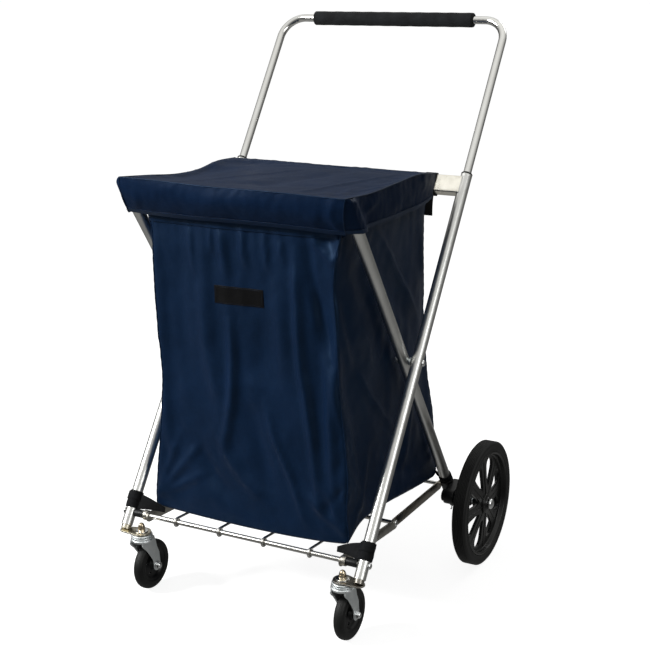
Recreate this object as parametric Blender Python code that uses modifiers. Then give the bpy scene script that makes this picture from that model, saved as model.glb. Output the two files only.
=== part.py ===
"""Folding shopping trolley with two swivel casters, two large rear wheels and a soft lidded bag.

+X is to the right as the trolley is seen from its front, +Y to the rear, where the handle is, and +Z up.
The origin is on the floor, under the middle of the whole trolley. All lengths are in metres.
On each side a long tube and a rear leg cross like an X. The wire base between them hinges in its middle,
and folds upwards as the X closes.
"""

from math import atan2, cos, pi, radians, sin, sqrt

import bmesh
import bpy
from mathutils import Matrix, Vector

# ---- Driving dimensions ------------------------------------------------------------------------------
GAP = 0.0003  # between neighbouring solids
RUN = 0.0004  # radial play of a shaft in its hole

TUBE_R = 0.0111  # 7/8 inch tube of the frame
TUBE_WALL = 0.0012
HANDLE_R = 0.00795  # 5/8 inch tube of the handle
HANDLE_WALL = 0.0012
LONG_X = 0.258  # long tubes, and the handle's legs inside them
LEG_X = 0.2305  # rear legs, just inboard of the long tubes
LONG_LEAN = radians(53.65)  # long tubes above the horizontal
LEG_LEAN = radians(57.8)  # rear legs above the horizontal
LONG_UP = 0.7797  # from the front pivot to the long tube's top end
LONG_DOWN = 0.027
CROSS_AT = 0.3885  # the X pivot, along the long tube from the front pivot
LEG_UP = 0.403  # from the X pivot to the rear leg's top end
LEG_DOWN = 0.4028  # from the X pivot to the rear pivot
LEG_TAIL = 0.010  # rear leg past the rear pivot
FRONT_Z = 0.159  # front pivot above the floor

HANDLE_AT = 1.1276  # the grip's centre line, along the long tube, with the handle pulled out
HANDLE_FOOT = 0.580  # the handle's lower ends, along the long tube
HANDLE_BEND = 0.048
GRIP_R = 0.0147
GRIP_LENGTH = 0.369

WHEEL_R = 0.127  # 10 inch rear wheel
WHEEL_Y = 0.4074  # rear axle behind the front pivot
WHEEL_IN, WHEEL_OUT = 0.3064, 0.3348  # the tyre's two sides
TYRE_BEAD_R = 0.1070
WHEEL_STEPS, CASTER_STEPS = 32, 24  # facets of a tyre and of the rim inside it
AXLE_R = 0.005
REAR_SLEEVE_R, REAR_ARM_R, REAR_BOSS_R = 0.0140, 0.0165, 0.0115  # the plastic bracket on each rear leg
REAR_ARM_OUT, REAR_BOSS_OUT = 0.262, 0.298

CASTER_R = 0.050  # 4 inch caster wheel
CASTER_W = 0.021
CASTER_X = 0.223
STEM_Y = -0.0150  # the caster's stem, in front of the front pivot
TRAIL = 0.0234  # the caster's axle behind its stem
STEM_R, CASTER_AXLE_R = 0.004, 0.0032

BASE_FRONT = 0.2231  # front half of the wire base, pivot to pivot
BASE_FRONT_DROP = radians(5.66)
RAIL_H, RAIL_T, RAIL_DROP = 0.020, 0.003, 0.002
RAIL_FRONT_X, RAIL_REAR_X = 0.2133, 0.2098
RAIL_EYE_R, RAIL_EYE_OUT = 0.0098, 0.2243  # the collar on each front rail, and its outer face
NUT_R, NUT_T, NUT_BORE = 0.0062, 0.0036, 0.0020  # low domed nut on each end of the knee rod
FRONT_BAR_R, ROD_R, WIRE_R = 0.0048, 0.0040, 0.0025
WIRES_X = (0.148, 0.049)
WIRE_STEP = 0.009  # the rear wires lie this far inboard of the front ones

BOLT_R = 0.003
BOLT_HEAD_R, BOLT_HEAD_T = 0.0062, 0.0048

PLATE_LOW, PLATE_HIGH = 0.737, 0.773  # top cross plate, along the long tube
PLATE_DEPTH = 0.022

BAG_X = 0.2115
BAG_LOW, BAG_HIGH = 0.176, 0.8195
BAG_FRONT, BAG_REAR_LOW, BAG_REAR_HIGH = 0.031, 0.422, 0.412
CLOTH = 0.0018
LID_X, LID_FRONT, LID_REAR = 0.2455, -0.004, 0.405
LID_TOP, LID_SKIRT, LID_SKIRT_REAR = 0.8235, 0.067, 0.330
STRAP_T = 0.002
STRAP_LOW, STRAP_HIGH = 0.012, 0.046  # front strap, along the long tube

# ---- Derived places ----------------------------------------------------------------------------------
ALONG = Vector((0, cos(LONG_LEAN), sin(LONG_LEAN)))  # up the long tube
ACROSS = Vector((0, -sin(LONG_LEAN), cos(LONG_LEAN)))  # square to it, forwards and up
REARMOST = HANDLE_AT * cos(LONG_LEAN) + GRIP_R
FOREMOST = STEM_Y + TRAIL - CASTER_R
FRONT = Vector((0, -(REARMOST + FOREMOST) / 2, FRONT_Z))
CROSS = FRONT + ALONG * CROSS_AT
LEG_DOWNWARD = Vector((0, cos(LEG_LEAN), -sin(LEG_LEAN)))
REAR = CROSS + LEG_DOWNWARD * LEG_DOWN
KNEE = FRONT + Vector((0, cos(BASE_FRONT_DROP), -sin(BASE_FRONT_DROP))) * BASE_FRONT
AXLE = Vector((0, FRONT.y + WHEEL_Y, WHEEL_R * cos(pi / WHEEL_STEPS)))
STEM = Vector((CASTER_X, FRONT.y + STEM_Y, 0))
CASTER_Z = CASTER_R * cos(pi / CASTER_STEPS)  # each tyre stands on a facet
CASTER_AXLE = STEM + Vector((0, TRAIL, CASTER_Z))
FORK_TOP = 0.1185
CASTER_PLATE_LOW = 0.1270
CASTER_PLATE_T = 0.003

COLOURS = {
    "bright_steel": ((0.62, 0.62, 0.60), 0.22, 1.0),
    "chrome": ((0.72, 0.72, 0.72), 0.10, 1.0),
    "zinc": ((0.55, 0.58, 0.58), 0.35, 1.0),
    "brass": ((0.55, 0.43, 0.22), 0.25, 1.0),
    "pale_aluminium": ((0.80, 0.77, 0.68), 0.35, 0.6),
    "rail_steel": ((0.22, 0.21, 0.19), 0.40, 1.0),
    "black_plastic": ((0.015, 0.016, 0.017), 0.45, 0.0),
    "black_rubber": ((0.018, 0.019, 0.020), 0.60, 0.0),
    "black_foam": ((0.020, 0.021, 0.022), 0.80, 0.0),
    "black_webbing": ((0.012, 0.013, 0.016), 0.85, 0.0),
    "navy_nylon": ((0.014, 0.024, 0.075), 0.55, 0.0),
}


def clear_scene():
    for obj in list(bpy.data.objects):
        bpy.data.objects.remove(obj, do_unlink=True)


def make_collection(name):
    collection = bpy.data.collections.new(name)
    bpy.context.scene.collection.children.link(collection)
    return collection


def make_material(name):
    colour, roughness, metallic = COLOURS[name]
    material = bpy.data.materials.new(name)
    material.use_nodes = True
    shader = material.node_tree.nodes["Principled BSDF"]
    shader.inputs["Base Color"].default_value = (*colour, 1)
    shader.inputs["Roughness"].default_value = roughness
    shader.inputs["Metallic"].default_value = metallic
    return material


clear_scene()
PARTS = make_collection("shopping_trolley")
HELPERS = make_collection("helpers")
MATERIALS = {name: make_material(name) for name in COLOURS}


# ---- Shapes ------------------------------------------------------------------------------------------
def place(obj, material):
    """Puts a finished object in the trolley's collection with its own material."""
    PARTS.objects.link(obj)
    obj.data.materials.clear()
    obj.data.materials.append(MATERIALS[material])
    return obj


def helper(obj):
    """Puts an object that only cuts or joins another in the helpers' collection."""
    HELPERS.objects.link(obj)
    obj.hide_render = True
    obj.display_type = "WIRE"
    return obj


def mesh_object(name, bm):
    mesh = bpy.data.meshes.new(name)
    bm.to_mesh(mesh)
    bm.free()
    mesh.shade_smooth()
    mesh.set_sharp_from_angle(angle=radians(35))
    return bpy.data.objects.new(name, mesh)


def aimed(start, end):
    """The matrix that lays +Z from start towards end, with its origin midway."""
    turn = (end - start).to_track_quat("Z", "Y").to_matrix().to_4x4()
    return Matrix.Translation((start + end) / 2) @ turn


def rod(name, start, end, radius, sides=12):
    """A plain round bar between two points."""
    bm = bmesh.new()
    length = (end - start).length
    bmesh.ops.create_cone(bm, cap_ends=True, segments=sides, radius1=radius, radius2=radius, depth=length)
    obj = mesh_object(name, bm)
    obj.matrix_world = aimed(start, end)
    return obj


def box(name, low, high):
    bm = bmesh.new()
    size = [b - a for a, b in zip(low, high)]
    bmesh.ops.create_cube(bm, size=1, matrix=Matrix.Diagonal((*size, 1)))
    obj = mesh_object(name, bm)
    obj.location = [(a + b) / 2 for a, b in zip(low, high)]
    return obj


def path_curve(name, points, radius, resolution, caps=True):
    """A round bar bent along a list of points."""
    curve = bpy.data.curves.new(name, "CURVE")
    curve.dimensions = "3D"
    curve.bevel_depth = radius
    curve.bevel_resolution = resolution
    curve.use_fill_caps = caps
    spline = curve.splines.new("POLY")
    spline.points.add(len(points) - 1)
    for target, point in zip(spline.points, points):
        target.co = (*point, 1)
    return bpy.data.objects.new(name, curve)


def curve_to_mesh(curve_object):
    """The curve as a mesh object of the same name, in no collection, with its ends welded."""
    name = curve_object.name
    HELPERS.objects.link(curve_object)
    graph = bpy.context.evaluated_depsgraph_get()
    mesh = bpy.data.meshes.new_from_object(curve_object.evaluated_get(graph))
    bm = bmesh.new()
    bm.from_mesh(mesh)
    bmesh.ops.remove_doubles(bm, verts=bm.verts, dist=0.000001)
    obj = mesh_object(name, bm)
    obj.matrix_world = curve_object.matrix_world
    bpy.data.objects.remove(curve_object)
    obj.name = name
    return obj


def hollow_tube(name, points, radius, wall, resolution):
    """A bent tube, open at both ends."""
    obj = curve_to_mesh(path_curve(name, points, radius, resolution, caps=False))
    shell = obj.modifiers.new("wall", "SOLIDIFY")
    shell.thickness = wall
    shell.offset = -1
    return obj


def turned(name, profile, steps, centre, axis="X", spin=0.0):
    """A profile of (radius, height) points turned about X or Z; it closes on itself unless it starts on the axis.

    About X its first edge lies straight down, so a spin of half a facet lays a facet there instead."""
    bm = bmesh.new()
    points = [bm.verts.new((r, 0, h)) for r, h in profile]
    loop = points if profile[0][0] == 0 else points + points[:1]
    for first, second in zip(loop, loop[1:]):
        bm.edges.new((first, second))
    obj = mesh_object(name, bm)
    screw = obj.modifiers.new("turn", "SCREW")
    screw.axis = "Z"
    screw.steps = screw.render_steps = steps
    screw.use_merge_vertices = True
    screw.merge_threshold = 0.00001
    obj.location = centre
    if axis == "X":
        obj.rotation_euler = (Matrix.Rotation(pi / 2, 3, "Y") @ Matrix.Rotation(spin, 3, "Z")).to_euler()
    return obj


YZ_PLANE = Matrix(((0, 0, 1, 0), (1, 0, 0, 0), (0, 1, 0, 0), (0, 0, 0, 1)))  # lays a flat curve's x, y on Y, Z


def outline(name, points, thickness, centre, holes=()):
    """A flat plate in the Y-Z plane from (y, z) points relative to centre, with round holes (y, z, radius)."""
    curve = bpy.data.curves.new(name, "CURVE")
    curve.dimensions = "2D"
    curve.fill_mode = "BOTH"
    curve.extrude = thickness / 2
    loops = [points] + [circle(y, z, r, 12) for y, z, r in holes]
    for loop in loops:
        spline = curve.splines.new("POLY")
        spline.points.add(len(loop) - 1)
        spline.use_cyclic_u = True
        for target, (y, z) in zip(spline.points, loop):
            target.co = (y, z, 0, 1)
    obj = bpy.data.objects.new(name, curve)
    obj.matrix_world = Matrix.Translation(centre) @ YZ_PLANE
    return obj


def circle(y, z, radius, count, start=0.0, end=2 * pi):
    """Points on an arc; a full circle leaves out the repeated last point."""
    full = abs(end - start - 2 * pi) < 1e-6
    steps = count if full else count - 1
    turns = [start + (end - start) * i / steps for i in range(count)]
    return [(y + radius * cos(a), z + radius * sin(a)) for a in turns]


def stadium(y1, z1, r1, y2, z2, r2, count=8):
    """The outline round two circles, as (y, z) points."""
    heading = atan2(z2 - z1, y2 - y1)
    lean = atan2(r1 - r2, sqrt(max((y2 - y1) ** 2 + (z2 - z1) ** 2 - (r1 - r2) ** 2, 1e-12)))
    low, high = heading - pi / 2 + lean, heading + pi / 2 - lean
    far = circle(y2, z2, r2, count, low, high)
    near = circle(y1, z1, r1, count, high, low + 2 * pi)
    return far + near


def boolean(obj, other, operation):
    """Cuts the helper from obj, or joins it on."""
    step = obj.modifiers.new(operation.lower(), "BOOLEAN")
    step.operation = operation
    step.solver = "EXACT"
    step.object = other
    return obj


def cut(obj, other):
    return boolean(obj, helper(other), "DIFFERENCE")


def join(obj, other):
    return boolean(obj, helper(other), "UNION")


def sides():
    return (("L", -1), ("R", 1))


def at_x(point, x):
    return Vector((x, point.y, point.z))


# ---- Front frame: long tubes, plate, bar, bolts ------------------------------------------------------
def long_tubes():
    for side, s in sides():
        bottom = at_x(FRONT - ALONG * LONG_DOWN, s * LONG_X)
        top = at_x(FRONT + ALONG * LONG_UP, s * LONG_X)
        tube = hollow_tube(f"long_tube_{side}", [bottom, top], TUBE_R, TUBE_WALL, 8)
        for hole, where in (("front", FRONT), ("cross", CROSS)):
            start = at_x(where, s * (LONG_X - 0.02))
            end = at_x(where, s * (LONG_X + 0.02))
            cut(tube, rod(f"long_tube_{side}_{hole}_hole", start, end, BOLT_R + RUN))
        place(tube, "bright_steel")


def tube_bushes():
    """A plastic bush in each long tube's mouth, in which the handle slides."""
    bore = HANDLE_R + RUN
    outer = TUBE_R - TUBE_WALL - GAP
    depth, lip_t, lip_r = 0.022, 0.0022, TUBE_R + 0.0002
    for side, s in sides():
        mouth = at_x(FRONT + ALONG * (LONG_UP + GAP), s * LONG_X)
        profile = [(bore, lip_t), (lip_r, lip_t), (lip_r, 0), (outer, 0), (outer, -depth), (bore, -depth)]
        bush = turned(f"tube_bush_{side}", profile, 16, mouth, axis="Z")
        bush.rotation_euler = (LONG_LEAN - pi / 2, 0, 0)
        place(bush, "black_plastic")


def top_cross_plate():
    """A rectangular hollow section between the long tubes' tops, square to them."""
    middle = FRONT + ALONG * (PLATE_LOW + PLATE_HIGH) / 2
    width, depth = PLATE_HIGH - PLATE_LOW, PLATE_DEPTH
    wall = 0.002

    def rectangle(w, d):
        corners = ((-1, -1), (1, -1), (1, 1), (-1, 1))
        return [tuple((ALONG * a * w / 2 + ACROSS * b * d / 2)[1:]) for a, b in corners]

    length = 2 * (LONG_X - TUBE_R - GAP)
    plate = outline("top_cross_plate", rectangle(width, depth), length, middle)
    plate = curve_to_mesh(plate)
    bore = curve_to_mesh(outline("plate_bore", rectangle(width - 2 * wall, depth - 2 * wall), length + 0.02, middle))
    place(cut(plate, bore), "pale_aluminium")


def front_bar():
    """The bar through both front pivots, clamped by a bolt at each end."""
    end = LONG_X - TUBE_R - GAP
    bar = rod("front_bar", at_x(FRONT, -end), at_x(FRONT, end), FRONT_BAR_R, 16)
    for side, s in sides():
        start = at_x(FRONT, s * (end - 0.012))
        cut(bar, rod(f"front_bar_tap_{side}", start, at_x(FRONT, s * (end + 0.01)), BOLT_R + GAP, 12))
    place(bar, "chrome")


def base_bolts():
    """A domed bolt through each long tube into the front bar."""
    for side, s in sides():
        inner = LONG_X - TUBE_R - 0.010
        outer = LONG_X + TUBE_R + GAP
        profile = bolt_profile(outer - inner)
        bolt = turned(f"base_bolt_{side}", profile, 12, at_x(FRONT, s * outer))
        bolt.rotation_euler = (0, s * pi / 2, 0)
        place(bolt, "chrome")


def bolt_profile(shank):
    """A domed bolt along -Z from its seat at height 0."""
    dome = [(BOLT_HEAD_R * cos(a), 0.0012 + (BOLT_HEAD_T - 0.0012) * sin(a)) for a in (pi / 3, pi / 6, 0)]
    return [(0, BOLT_HEAD_T), *dome, (BOLT_HEAD_R, 0), (BOLT_R, 0), (BOLT_R, -shank), (0, -shank)]


def base_spacers():
    """Black spacers on the front bar, between the base's eyes and the long tubes."""
    inner, outer = 0.2245, LONG_X - TUBE_R - GAP * 2
    for side, s in sides():
        middle = at_x(FRONT, s * (inner + outer) / 2)
        half = (outer - inner) / 2
        r_in, r_out = FRONT_BAR_R + GAP, 0.0078
        profile = [(r_in, half), (r_out, half), (r_out, -half), (r_in, -half)]
        place(turned(f"base_spacer_{side}", profile, 16, middle), "black_plastic")


def pivot_bolts():
    """The X pivot's bolts, with a spacer between long tube and leg and a nut inside."""
    for side, s in sides():
        outer = LONG_X + TUBE_R + GAP
        inner = LEG_X - TUBE_R - 0.0068
        bolt = turned(f"pivot_bolt_{side}", bolt_profile(outer - inner), 12, at_x(CROSS, s * outer))
        bolt.rotation_euler = (0, s * pi / 2, 0)
        place(bolt, "chrome")

        low, high = LEG_X + TUBE_R + GAP, LONG_X - TUBE_R - GAP
        half = (high - low) / 2
        ring = [(BOLT_R + GAP, half), (0.0075, half), (0.0075, -half), (BOLT_R + GAP, -half)]
        place(turned(f"pivot_spacer_{side}", ring, 16, at_x(CROSS, s * (low + high) / 2)), "zinc")

        high = LEG_X - TUBE_R - GAP
        low = high - 0.0052
        half = (high - low) / 2
        bore = (BOLT_R + GAP) / cos(pi / 6)  # six-sided, so its flats clear the bolt
        nut = [(bore, half), (0.0062, half), (0.0062, -half), (bore, -half)]
        place(turned(f"pivot_nut_{side}", nut, 6, at_x(CROSS, s * (low + high) / 2)), "zinc")


# ---- Handle ------------------------------------------------------------------------------------------
def handle():
    """One bent tube: two legs in the long tubes, two round bends and the bar under the grip."""
    foot = FRONT + ALONG * HANDLE_FOOT
    crown = FRONT + ALONG * (HANDLE_AT - HANDLE_BEND)
    points = [at_x(foot, -LONG_X)]
    steps = 6
    for s in (-1, 1):
        bend = []
        for i in range(steps + 1):
            turn = pi / 2 * i / steps
            x = s * (LONG_X - HANDLE_BEND + HANDLE_BEND * cos(turn))
            bend.append(at_x(crown + ALONG * HANDLE_BEND * sin(turn), x))
        points += bend if s < 0 else bend[::-1]
    points.append(at_x(foot, LONG_X))
    place(hollow_tube("handle_bar", points, HANDLE_R, HANDLE_WALL, 5), "chrome")

    half, bore, round_r = GRIP_LENGTH / 2, HANDLE_R + GAP, 0.005
    turns = (pi / 2, pi / 3, pi / 6, 0)
    corner = [(GRIP_R - round_r * (1 - cos(a)), half - round_r * (1 - sin(a))) for a in turns]
    profile = [(bore, half), *corner, *[(r, -h) for r, h in corner[::-1]], (bore, -half)]
    place(turned("handle_grip", profile, 24, FRONT + ALONG * HANDLE_AT), "black_foam")


# ---- Rear frame: legs, top bar, brackets, axles ------------------------------------------------------
def rear_legs():
    for side, s in sides():
        top = at_x(CROSS - LEG_DOWNWARD * LEG_UP, s * LEG_X)
        bottom = at_x(REAR + LEG_DOWNWARD * LEG_TAIL, s * LEG_X)
        leg = hollow_tube(f"rear_leg_{side}", [bottom, top], TUBE_R, TUBE_WALL, 8)
        start, end = at_x(CROSS, s * (LEG_X - 0.02)), at_x(CROSS, s * (LEG_X + 0.02))
        cut(leg, rod(f"rear_leg_{side}_hole", start, end, BOLT_R + RUN))
        place(leg, "bright_steel")


def front_top_bar():
    """The bar between the rear legs' tops that the bag's front hem hangs on."""
    where = CROSS - LEG_DOWNWARD * (LEG_UP - 0.010)
    end = LEG_X - TUBE_R - GAP
    place(hollow_tube("front_top_bar", [at_x(where, -end), at_x(where, end)], 0.0075, TUBE_WALL, 6), "bright_steel")


def rear_brackets():
    """A moulded bracket: a sleeve on the leg's end, an arm to the axle and a boss out to the wheel."""
    arm_in = LEG_X + 0.0098
    for side, s in sides():
        name = f"rear_bracket_{side}"
        high, low = REAR - LEG_DOWNWARD * 0.026, REAR + LEG_DOWNWARD * 0.014
        sleeve = rod(name, at_x(high, s * LEG_X), at_x(low, s * LEG_X), REAR_SLEEVE_R, 16)
        shape = stadium(REAR.y, REAR.z, REAR_ARM_R, AXLE.y, AXLE.z, REAR_ARM_R)
        arm_middle = Vector((s * (arm_in + REAR_ARM_OUT) / 2, 0, 0))
        join(sleeve, curve_to_mesh(outline(f"{name}_arm", shape, REAR_ARM_OUT - arm_in, arm_middle)))
        boss_in = REAR_ARM_OUT - 0.004
        join(sleeve, rod(f"{name}_boss", at_x(AXLE, s * boss_in), at_x(AXLE, s * REAR_BOSS_OUT), REAR_BOSS_R, 16))
        socket_high, socket_low = REAR - LEG_DOWNWARD * 0.04, REAR + LEG_DOWNWARD * (LEG_TAIL + GAP)
        socket_r = TUBE_R + GAP * 2
        cut(sleeve, rod(f"{name}_socket", at_x(socket_high, s * LEG_X), at_x(socket_low, s * LEG_X), socket_r, 16))
        cut(sleeve, rod(f"{name}_bore", at_x(AXLE, s * 0.246), at_x(AXLE, s * 0.31), AXLE_R + GAP, 16))
        place(sleeve, "black_plastic")


def rear_axles():
    """An axle in each bracket, with a pressed cap on its outer end."""
    seat, bore = -0.0008, AXLE_R + GAP
    shell = [(0, 0.0072), (0.0065, 0.0060), (0.0098, 0.0030), (0.0110, 0), (0.0110, seat)]
    cap_profile = [*shell, (bore, seat), (bore, 0.0035), (0, 0.0035)]
    for side, s in sides():
        place(rod(f"rear_axle_{side}", at_x(AXLE, s * 0.2463), at_x(AXLE, s * 0.3415), AXLE_R, 16), "zinc")
        cap = turned(f"axle_cap_{side}", cap_profile, 16, at_x(AXLE, s * 0.3388))
        cap.rotation_euler = (0, s * pi / 2, 0)
        place(cap, "zinc")


def wire_clips():
    """A small wire hook under each bracket, which pins the axle."""
    for side, s in sides():
        x = s * 0.2525
        points = [(x, AXLE.y - 0.004, AXLE.z - 0.0170)]
        for i in range(1, 7):
            a = radians(100 - 45 * i)
            y = AXLE.y - 0.0035 + 0.0045 * cos(a) + 0.0012 * i
            z = AXLE.z - 0.0235 + 0.0045 * sin(a) - 0.0005 * i
            points.append((x, y, z))
        place(path_curve(f"wire_clip_{side}", points, 0.0011, 2), "zinc")


# ---- Wire base ---------------------------------------------------------------------------------------
def rail(name, first, last, x, bore, end_bore):
    """A strip with round ends between two pivots, which lie a little above its middle."""
    run = last - first
    r = RAIL_H / 2
    shape = stadium(0, -RAIL_DROP, r, run.y, run.z - RAIL_DROP, r, 7)
    return outline(name, shape, RAIL_T, at_x(first, x), holes=((0, 0, bore), (run.y, run.z, end_bore)))


def base_rails():
    for side, s in sides():
        front = rail(f"front_rail_{side}", FRONT, KNEE, s * RAIL_FRONT_X, FRONT_BAR_R + RUN, ROD_R + GAP)
        front = curve_to_mesh(front)
        low, high = RAIL_FRONT_X + RAIL_T / 2 - 0.0005, RAIL_EYE_OUT
        half = (high - low) / 2
        bore = FRONT_BAR_R + RUN
        ring = [(bore, half), (RAIL_EYE_R, half), (RAIL_EYE_R, -half), (bore, -half)]
        join(front, turned(f"front_rail_{side}_eye", ring, 12, at_x(FRONT, s * (low + high) / 2)))
        place(front, "rail_steel")
        rear = rail(f"rear_rail_{side}", KNEE, REAR, s * RAIL_REAR_X, ROD_R + RUN, ROD_R + GAP)
        place(rear, "rail_steel")


def eye(name, centre, x, bore):
    """A ring of wire round a bar that lies along X."""
    major = bore + WIRE_R
    bpy.ops.mesh.primitive_torus_add(
        major_radius=major,
        minor_radius=WIRE_R,
        major_segments=12,
        minor_segments=5,
        location=(x, centre.y, centre.z),
        rotation=(0, pi / 2, 0),
    )
    ring = bpy.context.object
    ring.name = name
    for collection in list(ring.users_collection):
        collection.objects.unlink(ring)
    return ring


def wire_grid(name, first, first_bore, last, x_places, rod_half):
    """Wires from eyes round the first bar to a rod at the last pivot, all welded into one piece."""
    grid = rod(name, at_x(last, -rod_half), at_x(last, rod_half), ROD_R, 12)
    run = (last - first).normalized()
    up = Vector((0, -run.z, run.y))
    for i, x in enumerate(x_places):
        start = at_x(first + up * (first_bore + WIRE_R), x)
        end = at_x(last + up * (ROD_R + WIRE_R - 0.0009), x)
        join(grid, rod(f"{name}_wire_{i}", start, end + run * 0.004, WIRE_R, 6))
        join(grid, eye(f"{name}_eye_{i}", first, x, first_bore))
    return grid


def wire_grids():
    front_x = [s * x for x in WIRES_X for s in (-1, 1)]
    rear_x = [s * (x - WIRE_STEP) for x in WIRES_X for s in (-1, 1)]
    knee_half = RAIL_FRONT_X + RAIL_T / 2 + NUT_BORE
    rear_half = LEG_X - REAR_SLEEVE_R - GAP
    place(wire_grid("front_wire_grid", FRONT, FRONT_BAR_R + RUN, KNEE, front_x, knee_half), "chrome")
    place(wire_grid("rear_wire_grid", KNEE, ROD_R + RUN, REAR, rear_x, rear_half), "chrome")


def knee_nuts():
    """A low domed nut outside each front rail, on the end of the knee's rod."""
    seat = RAIL_FRONT_X + RAIL_T / 2 + GAP
    bore = ROD_R + GAP
    dome = [(0, NUT_T), (0.55 * NUT_R, 0.92 * NUT_T), (0.9 * NUT_R, 0.5 * NUT_T), (NUT_R, 0)]
    profile = [*dome, (bore, 0), (bore, NUT_BORE), (0, NUT_BORE)]
    for side, s in sides():
        nut = turned(f"knee_nut_{side}", profile, 14, at_x(KNEE, s * seat))
        nut.rotation_euler = (0, s * pi / 2, 0)
        place(nut, "chrome")


# ---- Rear wheels -------------------------------------------------------------------------------------
def rear_wheels():
    mid = (WHEEL_IN + WHEEL_OUT) / 2
    half = (WHEEL_OUT - WHEEL_IN) / 2
    for side, s in sides():
        centre = at_x(AXLE, s * mid)
        bevel = 0.004
        upper = [(TYRE_BEAD_R, half - 0.002), (WHEEL_R - bevel, half), (WHEEL_R, half - bevel)]
        tread = upper + [(r, -h) for r, h in upper[::-1]]
        place(turned(f"rear_tyre_{side}", tread, WHEEL_STEPS, centre, spin=pi / WHEEL_STEPS), "black_rubber")

        edge, hub_r, bore = TYRE_BEAD_R - GAP, 0.021, AXLE_R + RUN
        web, lip = 0.0032, 0.0100
        upper = [
            (bore, half + 0.002),
            (hub_r, half + 0.002),
            (hub_r, web),
            (edge - lip, web),
            (edge - lip, half - 0.002),
            (edge, half - 0.002),
        ]
        rim = upper + [(r, -h) for r, h in upper[::-1]]
        wheel = turned(f"rear_rim_{side}", rim, WHEEL_STEPS, centre, spin=pi / WHEEL_STEPS)
        for i in range(8):
            turn = 2 * pi * (i + 0.5) / 8
            wide, narrow = 0.076, 0.044
            out_y, out_z = wide * cos(turn), wide * sin(turn)
            in_y, in_z = narrow * cos(turn), narrow * sin(turn)
            shape = stadium(out_y, out_z, 0.0155, in_y, in_z, 0.0050, 4)
            window = curve_to_mesh(outline(f"rear_rim_{side}_window_{i}", shape, 0.03, centre))
            cut(wheel, window)
        place(wheel, "black_plastic")


# ---- Casters -----------------------------------------------------------------------------------------
def caster_plates():
    """A steel plate from the long tube's end in to the stem, with a plug up the tube."""
    for side, s in sides():
        foot = FRONT - ALONG * (LONG_DOWN + 0.001)
        low = Vector((0, 0, CASTER_PLATE_LOW))
        edge = stadium(s * CASTER_X, STEM.y, 0.0185, s * LONG_X, foot.y - 0.003, 0.0115, 10)
        curve = bpy.data.curves.new(f"caster_plate_{side}", "CURVE")
        curve.dimensions = "2D"
        curve.fill_mode = "BOTH"
        curve.extrude = CASTER_PLATE_T / 2
        for loop in (edge, circle(s * CASTER_X, STEM.y, STEM_R + RUN, 16)):
            spline = curve.splines.new("POLY")
            spline.points.add(len(loop) - 1)
            spline.use_cyclic_u = True
            for target, (x, y) in zip(spline.points, loop):
                target.co = (x, y, 0, 1)
        flat = bpy.data.objects.new(f"caster_plate_{side}", curve)
        flat.location = low + Vector((0, 0, CASTER_PLATE_T / 2))
        plate = curve_to_mesh(flat)
        plug_low = at_x(FRONT - ALONG * (LONG_DOWN + 0.0080), s * LONG_X)
        plug_high = at_x(FRONT - ALONG * 0.008, s * LONG_X)
        plug = rod(f"caster_plate_{side}_plug", plug_low, plug_high, TUBE_R - TUBE_WALL - 0.0006, 16)
        trim_low = (s * LONG_X - 0.02, foot.y - 0.03, CASTER_PLATE_LOW - 0.03)
        trim_high = (s * LONG_X + 0.02, foot.y + 0.03, CASTER_PLATE_LOW + 0.0005)
        cut(plug, box(f"caster_plate_{side}_trim", trim_low, trim_high))
        join(plate, plug)
        place(plate, "zinc")


def caster_nuts():
    """A washer under an acorn nut on each stem."""
    seat = CASTER_PLATE_LOW + CASTER_PLATE_T + GAP
    for side, s in sides():
        stem = Vector((s * CASTER_X, STEM.y, seat))
        bore = STEM_R + GAP
        acorn = [(0, 0.0180), (0.0046, 0.0158), (0.0066, 0.0105), (0.0073, 0.0100), (0.0073, 0.0022)]
        washer = [(0.0125, 0.0022), (0.0125, 0)]
        profile = [*acorn, *washer, (bore, 0), (bore, 0.0125), (0, 0.0125)]
        place(turned(f"caster_nut_{side}", profile, 12, stem, axis="Z"), "brass")


def caster_forks():
    """A stamped fork: race, crown, two trailing legs and the stem."""
    for side, s in sides():
        x = s * CASTER_X
        top = CASTER_PLATE_LOW - GAP
        stem_top = CASTER_PLATE_LOW + CASTER_PLATE_T + 0.0115
        base = FORK_TOP - 0.0075
        stem = [(0, stem_top), (STEM_R, stem_top), (STEM_R, top)]
        race = [(0.0150, top), (0.0205, top - 0.0030), (0.0205, top - 0.0055), (0.0185, FORK_TOP)]
        crown = [(0.0225, FORK_TOP - 0.001), (0.0225, base), (0, base)]
        fork = turned(f"caster_fork_{side}", stem + race + crown, 20, Vector((x, STEM.y, 0)), axis="Z")
        leg_in, leg_t = CASTER_W / 2 + 0.0022, 0.0024
        for tag, d in (("a", -1), ("b", 1)):
            top_z = FORK_TOP - 0.0015
            front_edge = [(-0.0185, top_z), (-0.0205, base - 0.006), (-0.0150, 0.094), (TRAIL - 0.0105, CASTER_Z + 0.004)]
            rear_edge = [(TRAIL + 0.0095, CASTER_Z + 0.020), (0.0215, base - 0.006), (0.0195, top_z)]
            shape = front_edge + circle(TRAIL, CASTER_Z, 0.0105, 7, pi, 2 * pi) + rear_edge
            centre = Vector((x + d * (leg_in + leg_t / 2), STEM.y, 0))
            hole = (TRAIL, CASTER_Z, CASTER_AXLE_R + GAP)
            leg = outline(f"caster_fork_{side}_{tag}", shape, leg_t, centre, holes=(hole,))
            join(fork, curve_to_mesh(leg))
        place(fork, "zinc")


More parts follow.
